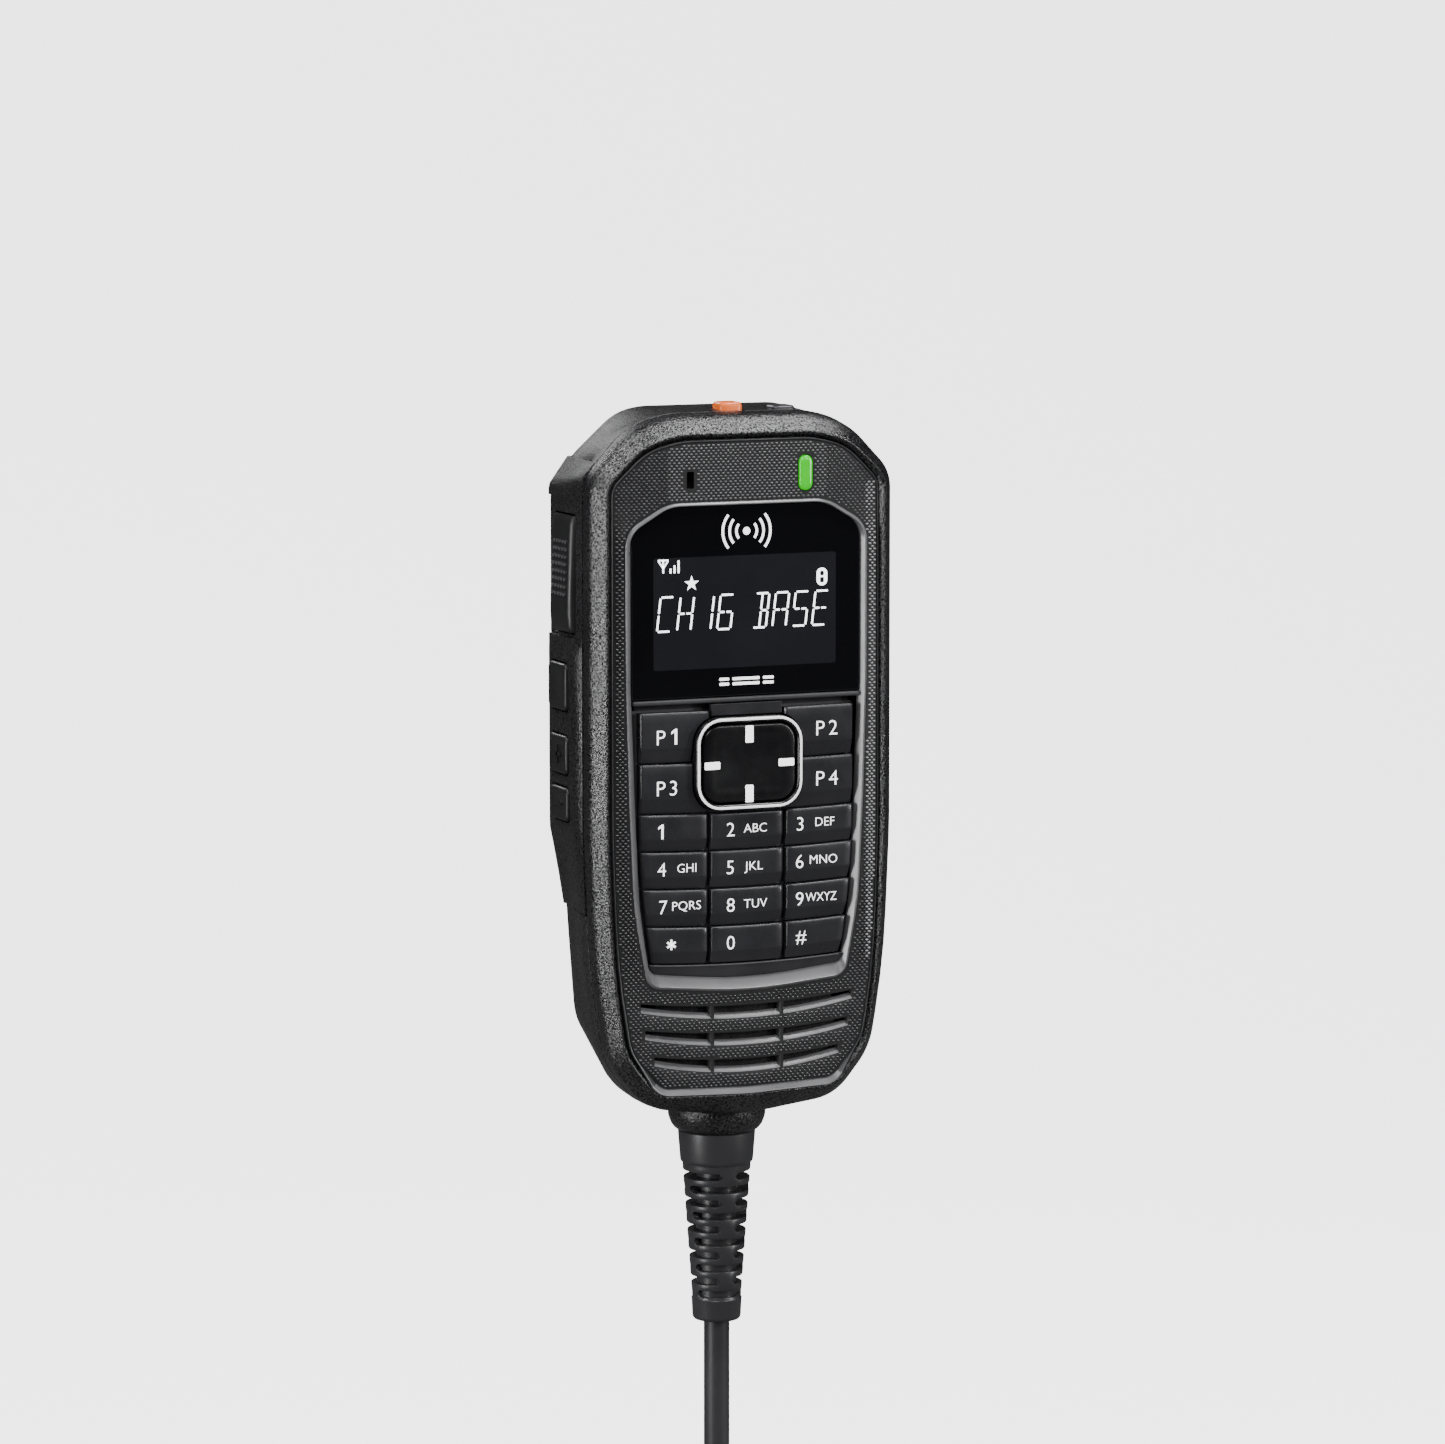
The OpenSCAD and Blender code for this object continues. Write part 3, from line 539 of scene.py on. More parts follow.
front_rows = [
    (-8.92, 0.25, 135.5, 0), (-9.1, 0, 135.5, 0), (-11.2, 0, 135.1, 0.1), (-12.3, 0.2, 134.75, 0.5),
    (-12.9, 0.6, 134.6, 0.8), (-14, 1.4, 134.4, 1.5), (-14.8, 2, 134.3, 2.1), (-15.1, 2.24, 134.25, 2.35),
    (-15.2, 2.42, 134.2, 2.45), (-15.14, 2.56, 134.2, 2.45), (-14.35, 3.4, 134.2, 2.45), (-14.1, 3.46, 134.2, 2.45),
    (-13.6, 3.48, 134.2, 2.45), (-13.6, 4.6, 134.2, 2.45), (-12, 4.6, 134.2, 2.45), (-12, 2.2, 134.6, 0.8),
    (-8.92, 2.2, 134.9, 0.5)]
piece("case_front", [(*loft(ring_set(front_rows), closed=True), "case")], "case", "case_texture", "front_case",
      angle=50)

rear_rows = [
    (-8.68, 0.25, 135.5, 0), (-8.5, 0, 135.5, 0), (-5, 0, 135.8, 0), (-1, 0, 136.1, 0),
    (2.5, 0, 136.2, 0.1), (5.5, 0.15, 136.3, 0.2), (8, 0.5, 136.3, 0.4), (9.9, 1.2, 136.2, 0.65),
    (11.4, 2.2, 136, 0.85), (12.5, 3.3, 135.5, 1.05), (13.5, 4.6, 135, 1.3), (14.15, 5.9, 134.5, 1.45),
    (14.45, 7.1, 134, 1.55), (14.5, 8, 133.9, 1.6)]
inner_rows = [
    (12.4, 8, 133.4, 1.6), (12.3, 5, 134, 1.5), (10.2, 3.6, 134.2, 1.2), (6.4, 2.4, 134.8, 0.6),
    (-8.68, 2.2, 134.9, 0.5)]
rings = ring_set(rear_rows + inner_rows)
verts, faces = loft(rings, caps=(False, False), closed=True)
n = len(rings[0])
# The step from the outer skin to the inner one is taken out, and each skin gets its own back wall.
outside, within = len(rear_rows) - 1, len(rear_rows)
faces = [f for f in faces if not (min(f) // n == outside and max(f) // n == within)]
faces.append([outside * n + k for k in range(n)])
faces.append([within * n + k for k in range(n)][::-1])
rear = build("case_rear", [(verts, faces, "rear")], 50)
SCREWS = [(-19.5, 121.5), (19.5, 121.5), (-22.3, 26.5), (22.3, 26.5)]
STUD_Z = 88
screw_hole = [(2.6, 9.4), (2.6, 13.9), (3, 14.7), (3, 17)]
tools = [spun(screw_hole, 40, "y", (x, 0, z), closed=False) for x, z in SCREWS]
tools.append(box((-40, -12, 40.3), (-28.6, 8.6, 126.9)))
tools += [along("z", rect(x - 2.65, x + 2.65, -7.95, -2.45, 1.3), 130, 140) for x in (0, 11)]
tools.append(spun([(6.3, -6), (6.3, 4)], 48, "z", closed=False))
tools.append(spun([(1.6, 10), (1.6, 16)], 32, "y", (0, 0, STUD_Z), closed=False))
cutters = [build("cutter", [(*tool, "rear")]) for tool in tools]
cut(rear, *cutters)
soften(rear.data, 40)
neck_profile = [(6.4, 2.5), (9.5, 2.5), (9.5, -0.2), (9.42, -1.3), (9.15, -2.2), (8.8, -3), (8.25, -3.7),
                (7.7, -4.1), (7.4, -4.2), (6.4, -4.2)]
piece("case_neck", [(*spun(neck_profile, 72), "rear")], "case", "case_texture", angle=50)
hand_in(rear, "case", "case_texture", "rear_case")


# ---------------- front panel with its lattice

def panel_y(x, z):
    """Depth of the lattice face: the two shoulders beside the display fall away behind a crease."""
    rise = clamp((z - 108) / 8)
    return -15.06 + max(0.075 * max(0, abs(x) - CREASE) * rise, 0.24 * max(0, abs(x) - 25.2))


def on_panel(points):
    return [(p[0], panel_y(*p), p[1]) for p in points]


def slot_edges(i, x):
    w, top = SLOT_HALF[i], 22.4 - 5.2 * i
    return top - 2.5 + 2.3 * (x / w) ** 2, top + 1.5 * (x / w) ** 2


def slot_loop(i, x0, x1, up=0, down=0, side=0):
    """Outline of a slot cell; up raises the lower edge, down lowers the upper edge, side draws the ends in."""
    a, b = x0 + side, x1 - side
    low = [a + (b - a) * k / SLOT_STEPS for k in range(SLOT_STEPS + 1)]
    high = [b + (a - b) * k / SLOT_STEPS for k in range(SLOT_STEPS + 1)]
    return [(x, slot_edges(i, x)[0] + up) for x in low] + [(x, slot_edges(i, x)[1] - down) for x in high]


CREASE = 16.2
PANEL_BACK = -13.5
SLOT_HALF, SLOT_STEPS = [22, 21.1, 19.2], 14
# Each slot has three cells between two ribs, as (slot, left end, right end).
CELLS = [(i, *ends) for i, w in enumerate(SLOT_HALF) for ends in ((-w, -7.5), (-6.9, 6.9), (7.5, w))]
LENS = rect(12 - 1.5, 12 + 1.5, 123.9 - 3.5, 123.9 + 3.5, 1.45)
MIC = rect(-11.7 - 0.75, -11.7 + 0.75, 123.2 - 1.6, 123.2 + 1.6, 0.3, 3)


def panel_outline(d):
    return case_outline(d, 134.2, 2.45, q=1)


mouths = [slot_loop(*cell) for cell in CELLS]
throats = [slot_loop(*cell, up=1, down=0.05, side=0.28) for cell in CELLS]
rim_inner = panel_outline(4.1)
pts, tris = filled(rim_inner, [well_rim(-0.02)] + mouths + [LENS, MIC],
                   [((side * CREASE, 119.6), (side * CREASE, 128.4)) for side in (-1, 1)])
parts = [(on_panel(pts), tris, "panel")]
# Round the panel runs a thin lip, which widens along the foot into a smooth band that leans back.
rim_rings = []
# Each row is an inset and a rise over the face, then the inset and the depth that it has along the foot.
for d, lift, d_foot, y_foot in ((3.56, -1.5, 2.66, -13.5), (3.56, 0, 2.66, -15.1), (3.62, 0.12, 2.72, -15.5),
                                (3.7, 0.16, 2.84, -15.66), (3.82, 0.12, 3, -15.64), (3.88, 0, 3.12, -15.56),
                                (3.96, -0.25, 3.92, -15.04)):
    ring = []
    for p, low_p in zip(panel_outline(d), panel_outline(d_foot)):
        w = ease(clamp((13 - p[1]) / 7))
        x, z = mix(p[0], low_p[0], w), mix(p[1], low_p[1], w)
        ring.append((x, mix(panel_y(*p) - lift, y_foot, w), z))
    rim_rings.append(ring)
rim_rings.append(on_panel(rim_inner))
verts, faces = loft(rim_rings, caps=(False, False))
# Along the foot the band is coloured light grey, a painted highlight where it faces up into the light.
painted_highlight_foot_band = [f for f in faces if all(verts[k][2] < 8.5 for k in f)]
parts.append((verts, [f for f in faces if f not in painted_highlight_foot_band], "rim"))
parts.append((verts, painted_highlight_foot_band, "trim"))
for hole in (well_rim(-0.02), LENS, MIC):
    parts.append((*loft([on_panel(hole), level(hole, PANEL_BACK)], caps=(False, False)), "panel"))
# The lower wall of each slot leans back as a ledge, coloured light grey as a painted highlight where it faces up into
# the light.
for cell, mouth, throat in zip(CELLS, mouths, throats):
    lip = slot_loop(*cell, up=0.12, down=0.01, side=0.05)
    verts, faces = loft([on_panel(mouth), level(lip, -15), level(throat, -14.1), level(throat, PANEL_BACK)],
                        caps=(False, False))
    painted_highlight_ledge = [f for f in faces if all((k % len(mouth)) <= SLOT_STEPS for k in f)]
    parts.append((verts, painted_highlight_ledge, "trim"))
    parts.append((verts, [f for f in faces if f not in painted_highlight_ledge], "panel"))
pts, tris = filled(panel_outline(3.56), [well_rim(-0.02)] + throats + [LENS, MIC])
parts.append((level(pts, PANEL_BACK), tris, "panel"))
panel = build("front_panel_lattice", parts, 30)
weld(panel.data, 0.004 * MM)
soften(panel.data, 30)
hand_in(panel, "case", "panel_lattice", "front_panel")

# Raised dots in staggered rows, each a six-sided stud with a flat top. The dots beside the display
# and along the right-hand edge are coloured lighter, a painted highlight where they catch the light.
field = panel_outline(4.3)
bare = [well_rim(-0.42)] + [slot_loop(i, -w - 0.4, w + 0.4, up=-0.35, down=-0.35) for i, w in enumerate(SLOT_HALF)]
bare += [rect(12 - 1.9, 12 + 1.9, 120, 127.8, 1.8), rect(-13.1, -10.3, 121, 125.4, 0.5)]
groups = {"dots": ([], []), "light_dots": ([], []), "edge_dots": ([], [])}
PITCH_X, PITCH_Z = 1, 0.535
for row in range(1, 237):
    z = 4.5 + row * PITCH_Z
    for col in range(-28, 29):
        x = (col + 0.5 * (row % 2)) * PITCH_X
        if not inside((x, z), field) or any(inside((x, z), hole) for hole in bare):
            continue
        kind = "edge_dots" if x > 24.8 and 30 < z < 122 else "light_dots" if z > 117 and abs(x) < 16.1 else "dots"
        verts, faces = groups[kind]
        base = len(verts)
        for rx, rz, rise in ((0.37, 0.21, -0.01), (0.19, 0.1, 0.2)):
            for k in range(6):
                t = math.pi * k / 3
                verts.append((x + rx * math.cos(t), panel_y(x, z) - rise, z + rz * math.sin(t)))
        faces += [[base + k, base + (k + 1) % 6, base + 6 + (k + 1) % 6, base + 6 + k] for k in range(6)]
        faces.append([base + 6 + k for k in range(6)])
        faces.append([base + 5 - k for k in range(6)])
piece("panel_lattice_dots", [(*g, mat) for mat, g in groups.items()], "case", "panel_lattice", angle=60)


# ---------------- well, window and display

SILL_Z, ROW_BOW = 31.5, 22
WIN_Y = -14.62
FACE_Y = WIN_Y - 0.012


def row_sag(z):
    """How far a row line at height z dips in the middle."""
    return 0.9 - (z - SILL_Z) * 0.0156


def row_line(z, x):
    return z - row_sag(z) * (1 - (x / ROW_BOW) ** 2)


def pad_side(z):
    """Half width of the keypad at height z."""
    return 22 if z > 60 else 22 - 0.0031 * (60 - z) ** 2


def block_x(x1, z0, z1, y0, y1, mat):
    """Bar across the middle plane."""
    return (*prism([(-x1, z0), (x1, z0), (x1, z1), (-x1, z1)], y0, y1), mat)


wall = [(well_rim, 0.02, -13.5), (well_rim, 0.02, -14.95), (well_rim, 0.4, -15.36), (well_rim, 0.5, -15.41),
        (well_rim, 0.6, -15.4), (well_rim, 0.68, -15.32), (well_floor, 0, -14.25), (well_floor, 0.08, -14.1),
        (well_floor, 0.08, -13.5)]
wall = loft([level(edge(d), y) for edge, d, y in wall], closed=True)
piece("well_trim", [(*wall, "trim")], "case", "trim_grey", "keypad_bezel")

# The bar under the keypad follows the first row line. Plates behind it and behind the bar over the
# corner keys hide the board from a low view.
crest = [(x, row_line(SILL_Z, x) - 0.15) for x in [-19.2 + 38.4 * k / 24 for k in range(25)]]
foot = sorted([p for p in well_floor(0.1) if p[1] < 31.3], key=lambda p: math.atan2(p[1] - 40, p[0]))
parts = [(*prism(foot + crest[::-1], -14.62, -13.4), "key"), (*box((-18.8, -12.6, 30.3), (18.8, -12.2, 31.8)), "key")]
piece("keypad_sill", parts, "case", "key_satin", edge=(0.14, 2, 40, 15))
# A thin light grey strip along the bar's upper edge, a painted highlight.
sill_highlight_strip = prism(crest + [(x, z - 0.2) for x, z in crest[::-1]], -14.74, -14.3)
piece("keypad_sill_highlight_line", [(*sill_highlight_strip, "trim")], "case", "trim_grey")
piece("window_sill", [block_x(23.35, 80.75, 81.65, -14.95, -13.4, "rim")], "case", "trim_grey", edge=(0.3, 2, 40, 15))
parts = [block_x(7.3, 78.2, 80.5, -14.75, -13.4, "key"), (*box((-22.2, -13.5, 80.85), (22.2, -12, 81.6)), "key"),
         (*box((-22.2, -12.3, 79.4), (22.2, -11.9, 81)), "key")]
piece("pad_bridge", parts, "case", "key_satin", edge=(0.15, 2, 40, 15))

pane = [p for p in well_floor(0.12) if p[1] > 81.8] + [(-23.48, 81.85), (23.48, 81.85)]
pane = sorted(set(pane), key=lambda p: math.atan2(p[1] - 98, p[0]))
piece("display_glass", [(*prism(pane, WIN_Y, -13.1), "window")], "case", "window_gloss", "display_window",
      edge=(0.22, 2, 40, 15))
piece("lcd_face", [(*prism(rect(-19.1, 18.5, 87.3, 108.6, 0.5, 3), FACE_Y, WIN_Y + 0.1), "lcd")], "case", "lcd_glass")


def stroke(a, b, w, y, trim_by=0, point=0.5):
    """Flat bar of width w with pointed ends between two points (x, z)."""
    a, b = Vector(a), Vector(b)
    u = (b - a).normalized()
    a, b = a + u * trim_by, b - u * trim_by
    s = Vector((-u.y, u.x)) * w / 2
    e = u * (w / 2 * point)
    loop = [a, a + e - s, b - e - s, b, b - e + s, a + e + s]
    return prism([(p.x, p.y) for p in loop], y - 0.03, y + 0.02)


def tile(x0, x1, z0, z1, r, steps, y0, y1, mat):
    return (*prism(rect(x0, x1, z0, z1, r, steps), y0, y1), mat)


# Ends of each segment of a display character, in half widths and half heights
SEGMENTS = {"a": (0, 2, 2, 2), "f": (0, 1, 0, 2), "b": (2, 1, 2, 2), "e": (0, 0, 0, 1), "c": (2, 0, 2, 1),
            "d": (0, 0, 2, 0), "g": (0, 1, 1, 1), "h": (1, 1, 2, 1), "i": (1, 1, 1, 2), "j": (1, 0, 1, 1)}
LIT = {"C": "afed", "H": "febcgh", "1": "bc", "6": "afedcgh", "B": "abcdijh", "A": "abcefgh", "S": "afghcd",
       "E": "afedgh"}
CHAR_W, CHAR_H, CHAR_SLANT, CHAR_PITCH, CHAR_Z = 2.75, 6.5, 0.12, 4.1, 94.7


def seg_char(ch, x, z):
    """Segments of one display character, its lower left corner at x, z."""
    def q(i, j):
        return (x + CHAR_W * i / 2 + CHAR_SLANT * CHAR_H * j / 2, z + CHAR_H * j / 2)
    ends = [SEGMENTS[k] for k in LIT[ch]]
    return [(*stroke(q(i, j), q(k, m), 0.38, FACE_Y, trim_by=0.16), "glyph") for i, j, k, m in ends]


def ring_of(n, radius, x, z, turn=0):
    """n points round (x, z); radius(k) is the distance of point k."""
    steps = [(radius(k), turn + 2 * math.pi * k / n) for k in range(n)]
    return [(r * math.cos(t) + x, r * math.sin(t) + z) for r, t in steps]


parts = []
for word, x in (("CH16", -18.4), ("BASE", 1.2)):
    for k, ch in enumerate(word):
        parts += seg_char(ch, x + CHAR_PITCH * k, CHAR_Z)
ax, az = -18.2, 105.7
for a, b, w in (((0, 2.5), (2.2, 2.5), 0.3), ((0.1, 2.4), (1.1, 1), 0.3), ((2.1, 2.4), (1.1, 1), 0.3),
                ((1.1, 0), (1.1, 2.5), 0.34)):
    parts.append((*stroke((ax + a[0], az + a[1]), (ax + b[0], az + b[1]), w, FACE_Y), "glyph"))
for k, height in enumerate((0.9, 1.5, 2.4)):
    x = ax + 2.4 + 0.82 * k
    parts.append(tile(x, x + 0.4, az, az + height, 0.05, 1, FACE_Y - 0.03, FACE_Y + 0.02, "glyph"))
star = ring_of(10, lambda k: 0.6 if k % 2 else 1.55, -11.3, 103.6, math.pi / 2)
parts.append((*prism(star, FACE_Y - 0.03, FACE_Y + 0.02), "glyph"))
parts.append(tile(14.5, 16.7, 102.2, 105.6, 1.05, 6, FACE_Y - 0.03, FACE_Y + 0.02, "glyph"))
parts.append(tile(15.2, 16, 102.8, 103.8, 0.1, 1, FACE_Y - 0.05, FACE_Y, "lcd"))
parts.append(tile(15.2, 16, 104.1, 105, 0.3, 3, FACE_Y - 0.05, FACE_Y, "lcd"))
piece("lcd_glyphs", parts, "case", "lcd_glass")


def arc(x, z, r, a0, a1, steps=14):
    angles = [math.radians(a0 + (a1 - a0) * k / steps) for k in range(steps + 1)]
    return [(x + r * math.cos(t), z + r * math.sin(t)) for t in angles]


# Generic radio-wave sign above the display, and a row of short bars below it
WAVES_Z = 113.2
dot = ring_of(24, lambda k: 0.75, 0, WAVES_Z)
parts = [(*prism(dot, WIN_Y - 0.02, WIN_Y + 0.02), "ink")]
for r in (2.1, 3.5, 4.9):
    for a in (0, 180):
        band = arc(0, WAVES_Z, r + 0.25, a - 40, a + 40) + arc(0, WAVES_Z, r - 0.25, a + 40, a - 40)
        parts.append((*prism(band, WIN_Y - 0.02, WIN_Y + 0.02), "ink"))
for x, w in ((-5.6, 2), (-2.9, 5.6), (3.4, 2.2)):
    for z0, z1 in ((83.9, 84.45), (84.85, 85.4)):
        parts.append(tile(x, x + w, z0, z1, 0.1, 1, WIN_Y - 0.02, WIN_Y + 0.02, "ink"))
piece("window_marks", parts, "case", "nav_white")


# ---------------- status light

lens_rings = []
lens_x, lens_z = 12, 123.9
for d, y in ((0, -13.2), (0, -15.2), (0.12, -15.42), (0.4, -15.56), (0.8, -15.62), (1.15, -15.64)):
    w, h = 1.35 - d, 3.32 - d
    edge = rect(lens_x - w, lens_x + w, lens_z - h, lens_z + h, max(1.34 - d, 0.15))
    lens_rings.append(level(edge, y))
piece("status_light", [(*loft(lens_rings), "lens")], "case", "lens_green", "status_lens", angle=60)


# ---------------- keypad

ROWS = [31.5, 38.65, 45.8, 52.95, 60.1, 69.7, 79.5]
COLUMN = [(-40, -8.125), (-7.475, 7.475), (8.125, 40)]
TALL = 8
KEY_BACK = -13.2
NAV_Z, NAV_HALF, NAV_R = 69.1, (11, 8.9), 5
# Faces of a digit key and of a corner key, as (share of the height, depth) from the lower edge up
DIGIT_FACE = [(0, -14.24), (0.06, -14.38), (0.27, -14.88), (0.33, -15.04), (0.4, -15.07), (0.93, -15.13),
              (0.98, -15.06), (1, -14.9)]
CORNER_FACE = [(0, -14.24), (0.05, -14.38), (0.25, -14.9), (0.29, -15.04), (0.33, -15.08), (0.95, -15.15),
               (0.985, -15.08), (1, -14.9)]
DIGIT_STEPS = [0, 0.03, 0.06, 0.16, 0.27, 0.3, 0.33, 0.36, 0.4, 0.6, 0.8, 0.93, 0.96, 0.98, 1]
CORNER_STEPS = [0, 0.025, 0.05, 0.15, 0.25, 0.27, 0.29, 0.31, 0.33, 0.5, 0.8, 0.95, 0.97, 0.985, 1]


def nav_outline(d):
    w, h = NAV_HALF[0] - d, NAV_HALF[1] - d
    return rect(-w, w, NAV_Z - h, NAV_Z + h, max(NAV_R - d, 0.8), 8)


def key_span(z0, z1, x):
    """Lower and upper edge of a key at x, between two row lines."""
    return row_line(z0, x) + 0.15, row_line(z1, x) - 0.15


def key_depth(v, tall):
    """Depth of a key's face at v, from 0 at its lower edge to 1 at its upper edge."""
    stops = CORNER_FACE if tall else DIGIT_FACE
    for (a, ya), (b, yb) in zip(stops, stops[1:]):
        if v <= b:
            return ya + (yb - ya) * (v - a) / (b - a)
    return stops[-1][1]


def key_face(z0, z1):
    """Function of (x, z) that gives the depth of a key's face."""
    def depth(x, z):
        lo, hi = key_span(z0, z1, x)
        return key_depth(clamp((z - lo) / (hi - lo)), z1 - z0 > TALL)
    return depth


def key_mesh(x0, x1, z0, z1):
    """A key between two row lines, with a crowned face and chamfered ends."""
    tall = z1 - z0 > TALL
    vsteps = CORNER_STEPS if tall else DIGIT_STEPS
    usteps = [0, 0.018, 0.035] + [0.035 + 0.93 * k / 10 for k in range(1, 10)] + [0.965, 0.982, 1]
    nu, nv = len(usteps), len(vsteps)
    drop = {0: 0.42, 1: 0.12, nu - 1: 0.42, nu - 2: 0.12}
    verts = []
    for v in vsteps:
        side = pad_side(z0 + (z1 - z0) * v)
        a, b = max(x0, -side), min(x1, side)
        for j, u in enumerate(usteps):
            x = a + (b - a) * u
            lo, hi = key_span(z0, z1, x)
            verts.append((x, key_depth(v, tall) + drop.get(j, 0), lo + (hi - lo) * v))
    faces = [[r * nu + c, r * nu + c + 1, (r + 1) * nu + c + 1, (r + 1) * nu + c]
             for r in range(nv - 1) for c in range(nu - 1)]
    edge = list(range(nu)) + [r * nu + nu - 1 for r in range(1, nv)]
    edge += [(nv - 1) * nu + c for c in range(nu - 2, -1, -1)] + [r * nu for r in range(nv - 2, 0, -1)]
    base, n = len(verts), len(edge)
    verts += [(verts[i][0], KEY_BACK, verts[i][2]) for i in edge]
    faces += [[edge[(k + 1) % n], edge[k], base + k, base + (k + 1) % n] for k in range(n)]
    faces.append([base + k for k in range(n)])
    return verts, faces


INK = 0.03


def raised(flat, faces, depth):
    """Points (x, z) laid on a face and made into a thin slab."""
    n = len(flat)
    verts = [(x, depth(x, z) - INK, z) for x, z in flat] + [(x, depth(x, z) + INK, z) for x, z in flat]
    edges = {(a, b): 1 for f in faces for a, b in zip(f, f[1:] + f[:1])}
    sides = [[b, a, a + n, b + n] for a, b in edges if (b, a) not in edges]
    return verts, faces + [[i + n for i in reversed(f)] for f in faces] + sides


def numeral_one(height, x, z, depth):
    """A figure one with a flag, because the built-in face draws it as a plain bar."""
    k = height / 2.45
    loop = [(0.55, 0), (0.95, 0), (0.95, 2.45), (0.62, 2.45), (0, 2), (0, 1.62), (0.55, 1.95)]
    return raised([(x + a * k, z + b * k) for a, b in loop], [list(range(len(loop)))], depth)


def lettering(text, height, x, z, depth, bold=0, stretch=1):
    """Mesh of a legend whose lower left corner is at x, z; depth(x, z) is the face that it lies on."""
    data = bpy.data.curves.new("t", "FONT")
    data.body = text
    data.size = 1
    data.offset = bold
    data.resolution_u = 3
    tmp = new_object("t", data)
    graph = bpy.context.evaluated_depsgraph_get()
    graph.update()
    me = bpy.data.meshes.new_from_object(tmp.evaluated_get(graph))
    bpy.data.objects.remove(tmp)
    pts = [v.co.copy() for v in me.vertices]
    faces = [list(p.vertices) for p in me.polygons]
    bpy.data.meshes.remove(me)
    left = min(p.x for p in pts)
    k = height / CAPITAL
    return raised([(x + (p.x - left) * k * stretch, z + p.y * k) for p in pts], faces, depth)


CAPITAL = 0.729  # height of a capital of the built-in face at size 1
KEYS = {
    "key_1": (0, 3, "1", ""), "key_2": (1, 3, "2", "ABC"), "key_3": (2, 3, "3", "DEF"),
    "key_4": (0, 2, "4", "GHI"), "key_5": (1, 2, "5", "JKL"), "key_6": (2, 2, "6", "MNO"),
    "key_7": (0, 1, "7", "PQRS"), "key_8": (1, 1, "8", "TUV"), "key_9": (2, 1, "9", "WXYZ"),
    "key_star": (0, 0, "*", ""), "key_0": (1, 0, "0", ""), "key_hash": (2, 0, "#", "")}
# Left end and width of each small legend
SMALL = {"ABC": (-0.75, 1.03), "DEF": (14.15, 1), "GHI": (-14.45, 1), "JKL": (-0.6, 1.08), "MNO": (13, 1.03),
         "PQRS": (-15.5, 1.05), "TUV": (-0.7, 1.03), "WXYZ": (12.15, 0.88)}
NUDGE = {"4": -0.15, "7": 0.2, "3": 0.2}
for name, (col, row, big, small) in KEYS.items():
    z0, z1 = ROWS[row], ROWS[row + 1]
    middle = (z0 + z1) / 2
    piece(name + "_cap", [(*key_mesh(*COLUMN[col], z0, z1), "key")], name, "key_satin", name, angle=50)
    depth = key_face(z0, z1)
    x = (-18.35, -4.25, 10.1)[col] + NUDGE.get(big, 0)
    z = row_line(middle, x) - (0.4, 0.3, 0.1)[col]
    parts = []
    if big == "*":
        for k in range(3):
            t = math.radians(30 + 60 * k)
            c = Vector((-15.7, z + 0.5))
            d = Vector((math.cos(t), math.sin(t)))
            verts, faces = stroke(c - d, c + d, 0.42, 0, point=0.1)
            parts.append(([(p[0], p[1] + depth(p[0], p[2]), p[2]) for p in verts], faces, "ink"))
    elif big == "1":
        parts.append((*numeral_one(2.8, x, z - 0.7, depth), "ink"))
    else:
        parts.append((*lettering(big, 2.8, x, z - 0.7, depth, -0.009), "ink"))
    if small:
        left, stretch = SMALL[small]
        low = z - 0.15 + (0.15 if col == 2 else 0)
        parts.append((*lettering(small, 1.8, left, low, depth, -0.01, stretch), "ink"))
    piece(name + "_legend", parts, name, "nav_white")

for label, side, row in (("P1", -1, 5), ("P2", 1, 5), ("P3", -1, 4), ("P4", 1, 4)):
    name = "key_" + label.lower()
    z0, z1 = ROWS[row], ROWS[row + 1]
    ends = (-40, -7.8) if side < 0 else (7.8, 40)
    obj = build(name + "_cap", [(*key_mesh(*ends, z0, z1), "key")], 50)
    cut(obj, build("cutter", [(*prism(nav_outline(-0.32), -20, -10), "key")]))
    bevel(obj, 0.1, 2, 60, 15)
    hand_in(obj, name, "key_satin", name)
    depth = key_face(z0, z1)
    x = -18.6 if side < 0 else 14.3
    z = (z0 + z1) / 2 - 1.4 + (0.3 if side > 0 else 0)
    if label == "P1":
        figure = numeral_one(3, x + 2.95, z, depth)
    else:
        figure = lettering(label[1], 3, x + 2.65, z, depth, -0.008)
    piece(name + "_legend", [(*lettering("P", 3, x, z, depth, -0.008), "ink"), (*figure, "ink")], name, "nav_white")


# ---------------- four-way pad

def nav_loft(rows, closed=False):
    return loft([level(nav_outline(d), y) for d, y in rows], closed=closed)


collar = [(0, -13), (0, -16.1), (0.16, -16.38), (0.45, -16.5), (0.7, -16.5), (0.95, -16.38), (1.1, -16.1),
          (1.1, -13)]
band = [(0.18, -16.2), (0.24, -16.5), (0.38, -16.56), (0.6, -16.56), (0.7, -16.5), (0.76, -16.2)]
piece("nav_ring_white", [(*nav_loft(collar, True), "pad"), (*nav_loft(band, True), "ring")], "case", "nav_white",
      "nav_ring", angle=60)
pad_rows = [(1.5, -13.9), (1.5, -15.9), (1.62, -16.05), (1.9, -16.12), (3.2, -16.12), (3.8, -16.05), (4.6, -15.99),
            (7, -15.96)]
pad = build("nav_pad_cap", [(*nav_loft(pad_rows), "pad")], 40)
parts = []
for x, z, w, h in ((0, NAV_Z + 5.5, 1.65, 3.3), (0, NAV_Z - 5.9, 1.65, 3.3), (-7.65, NAV_Z - 0.25, 3.2, 1.45),
                   (7.65, NAV_Z - 0.25, 3.2, 1.45)):
    parts.append(tile(x - w / 2, x + w / 2, z - h / 2, z + h / 2, 0.25, 3, -16.2, -15.7, "ink"))
piece("nav_pad_marks", parts, "nav_pad", "nav_white", edge=(0.08, 1, 40))
hand_in(pad, "nav_pad", "key_satin", "nav_pad")


# ---------------- side cover and side keys

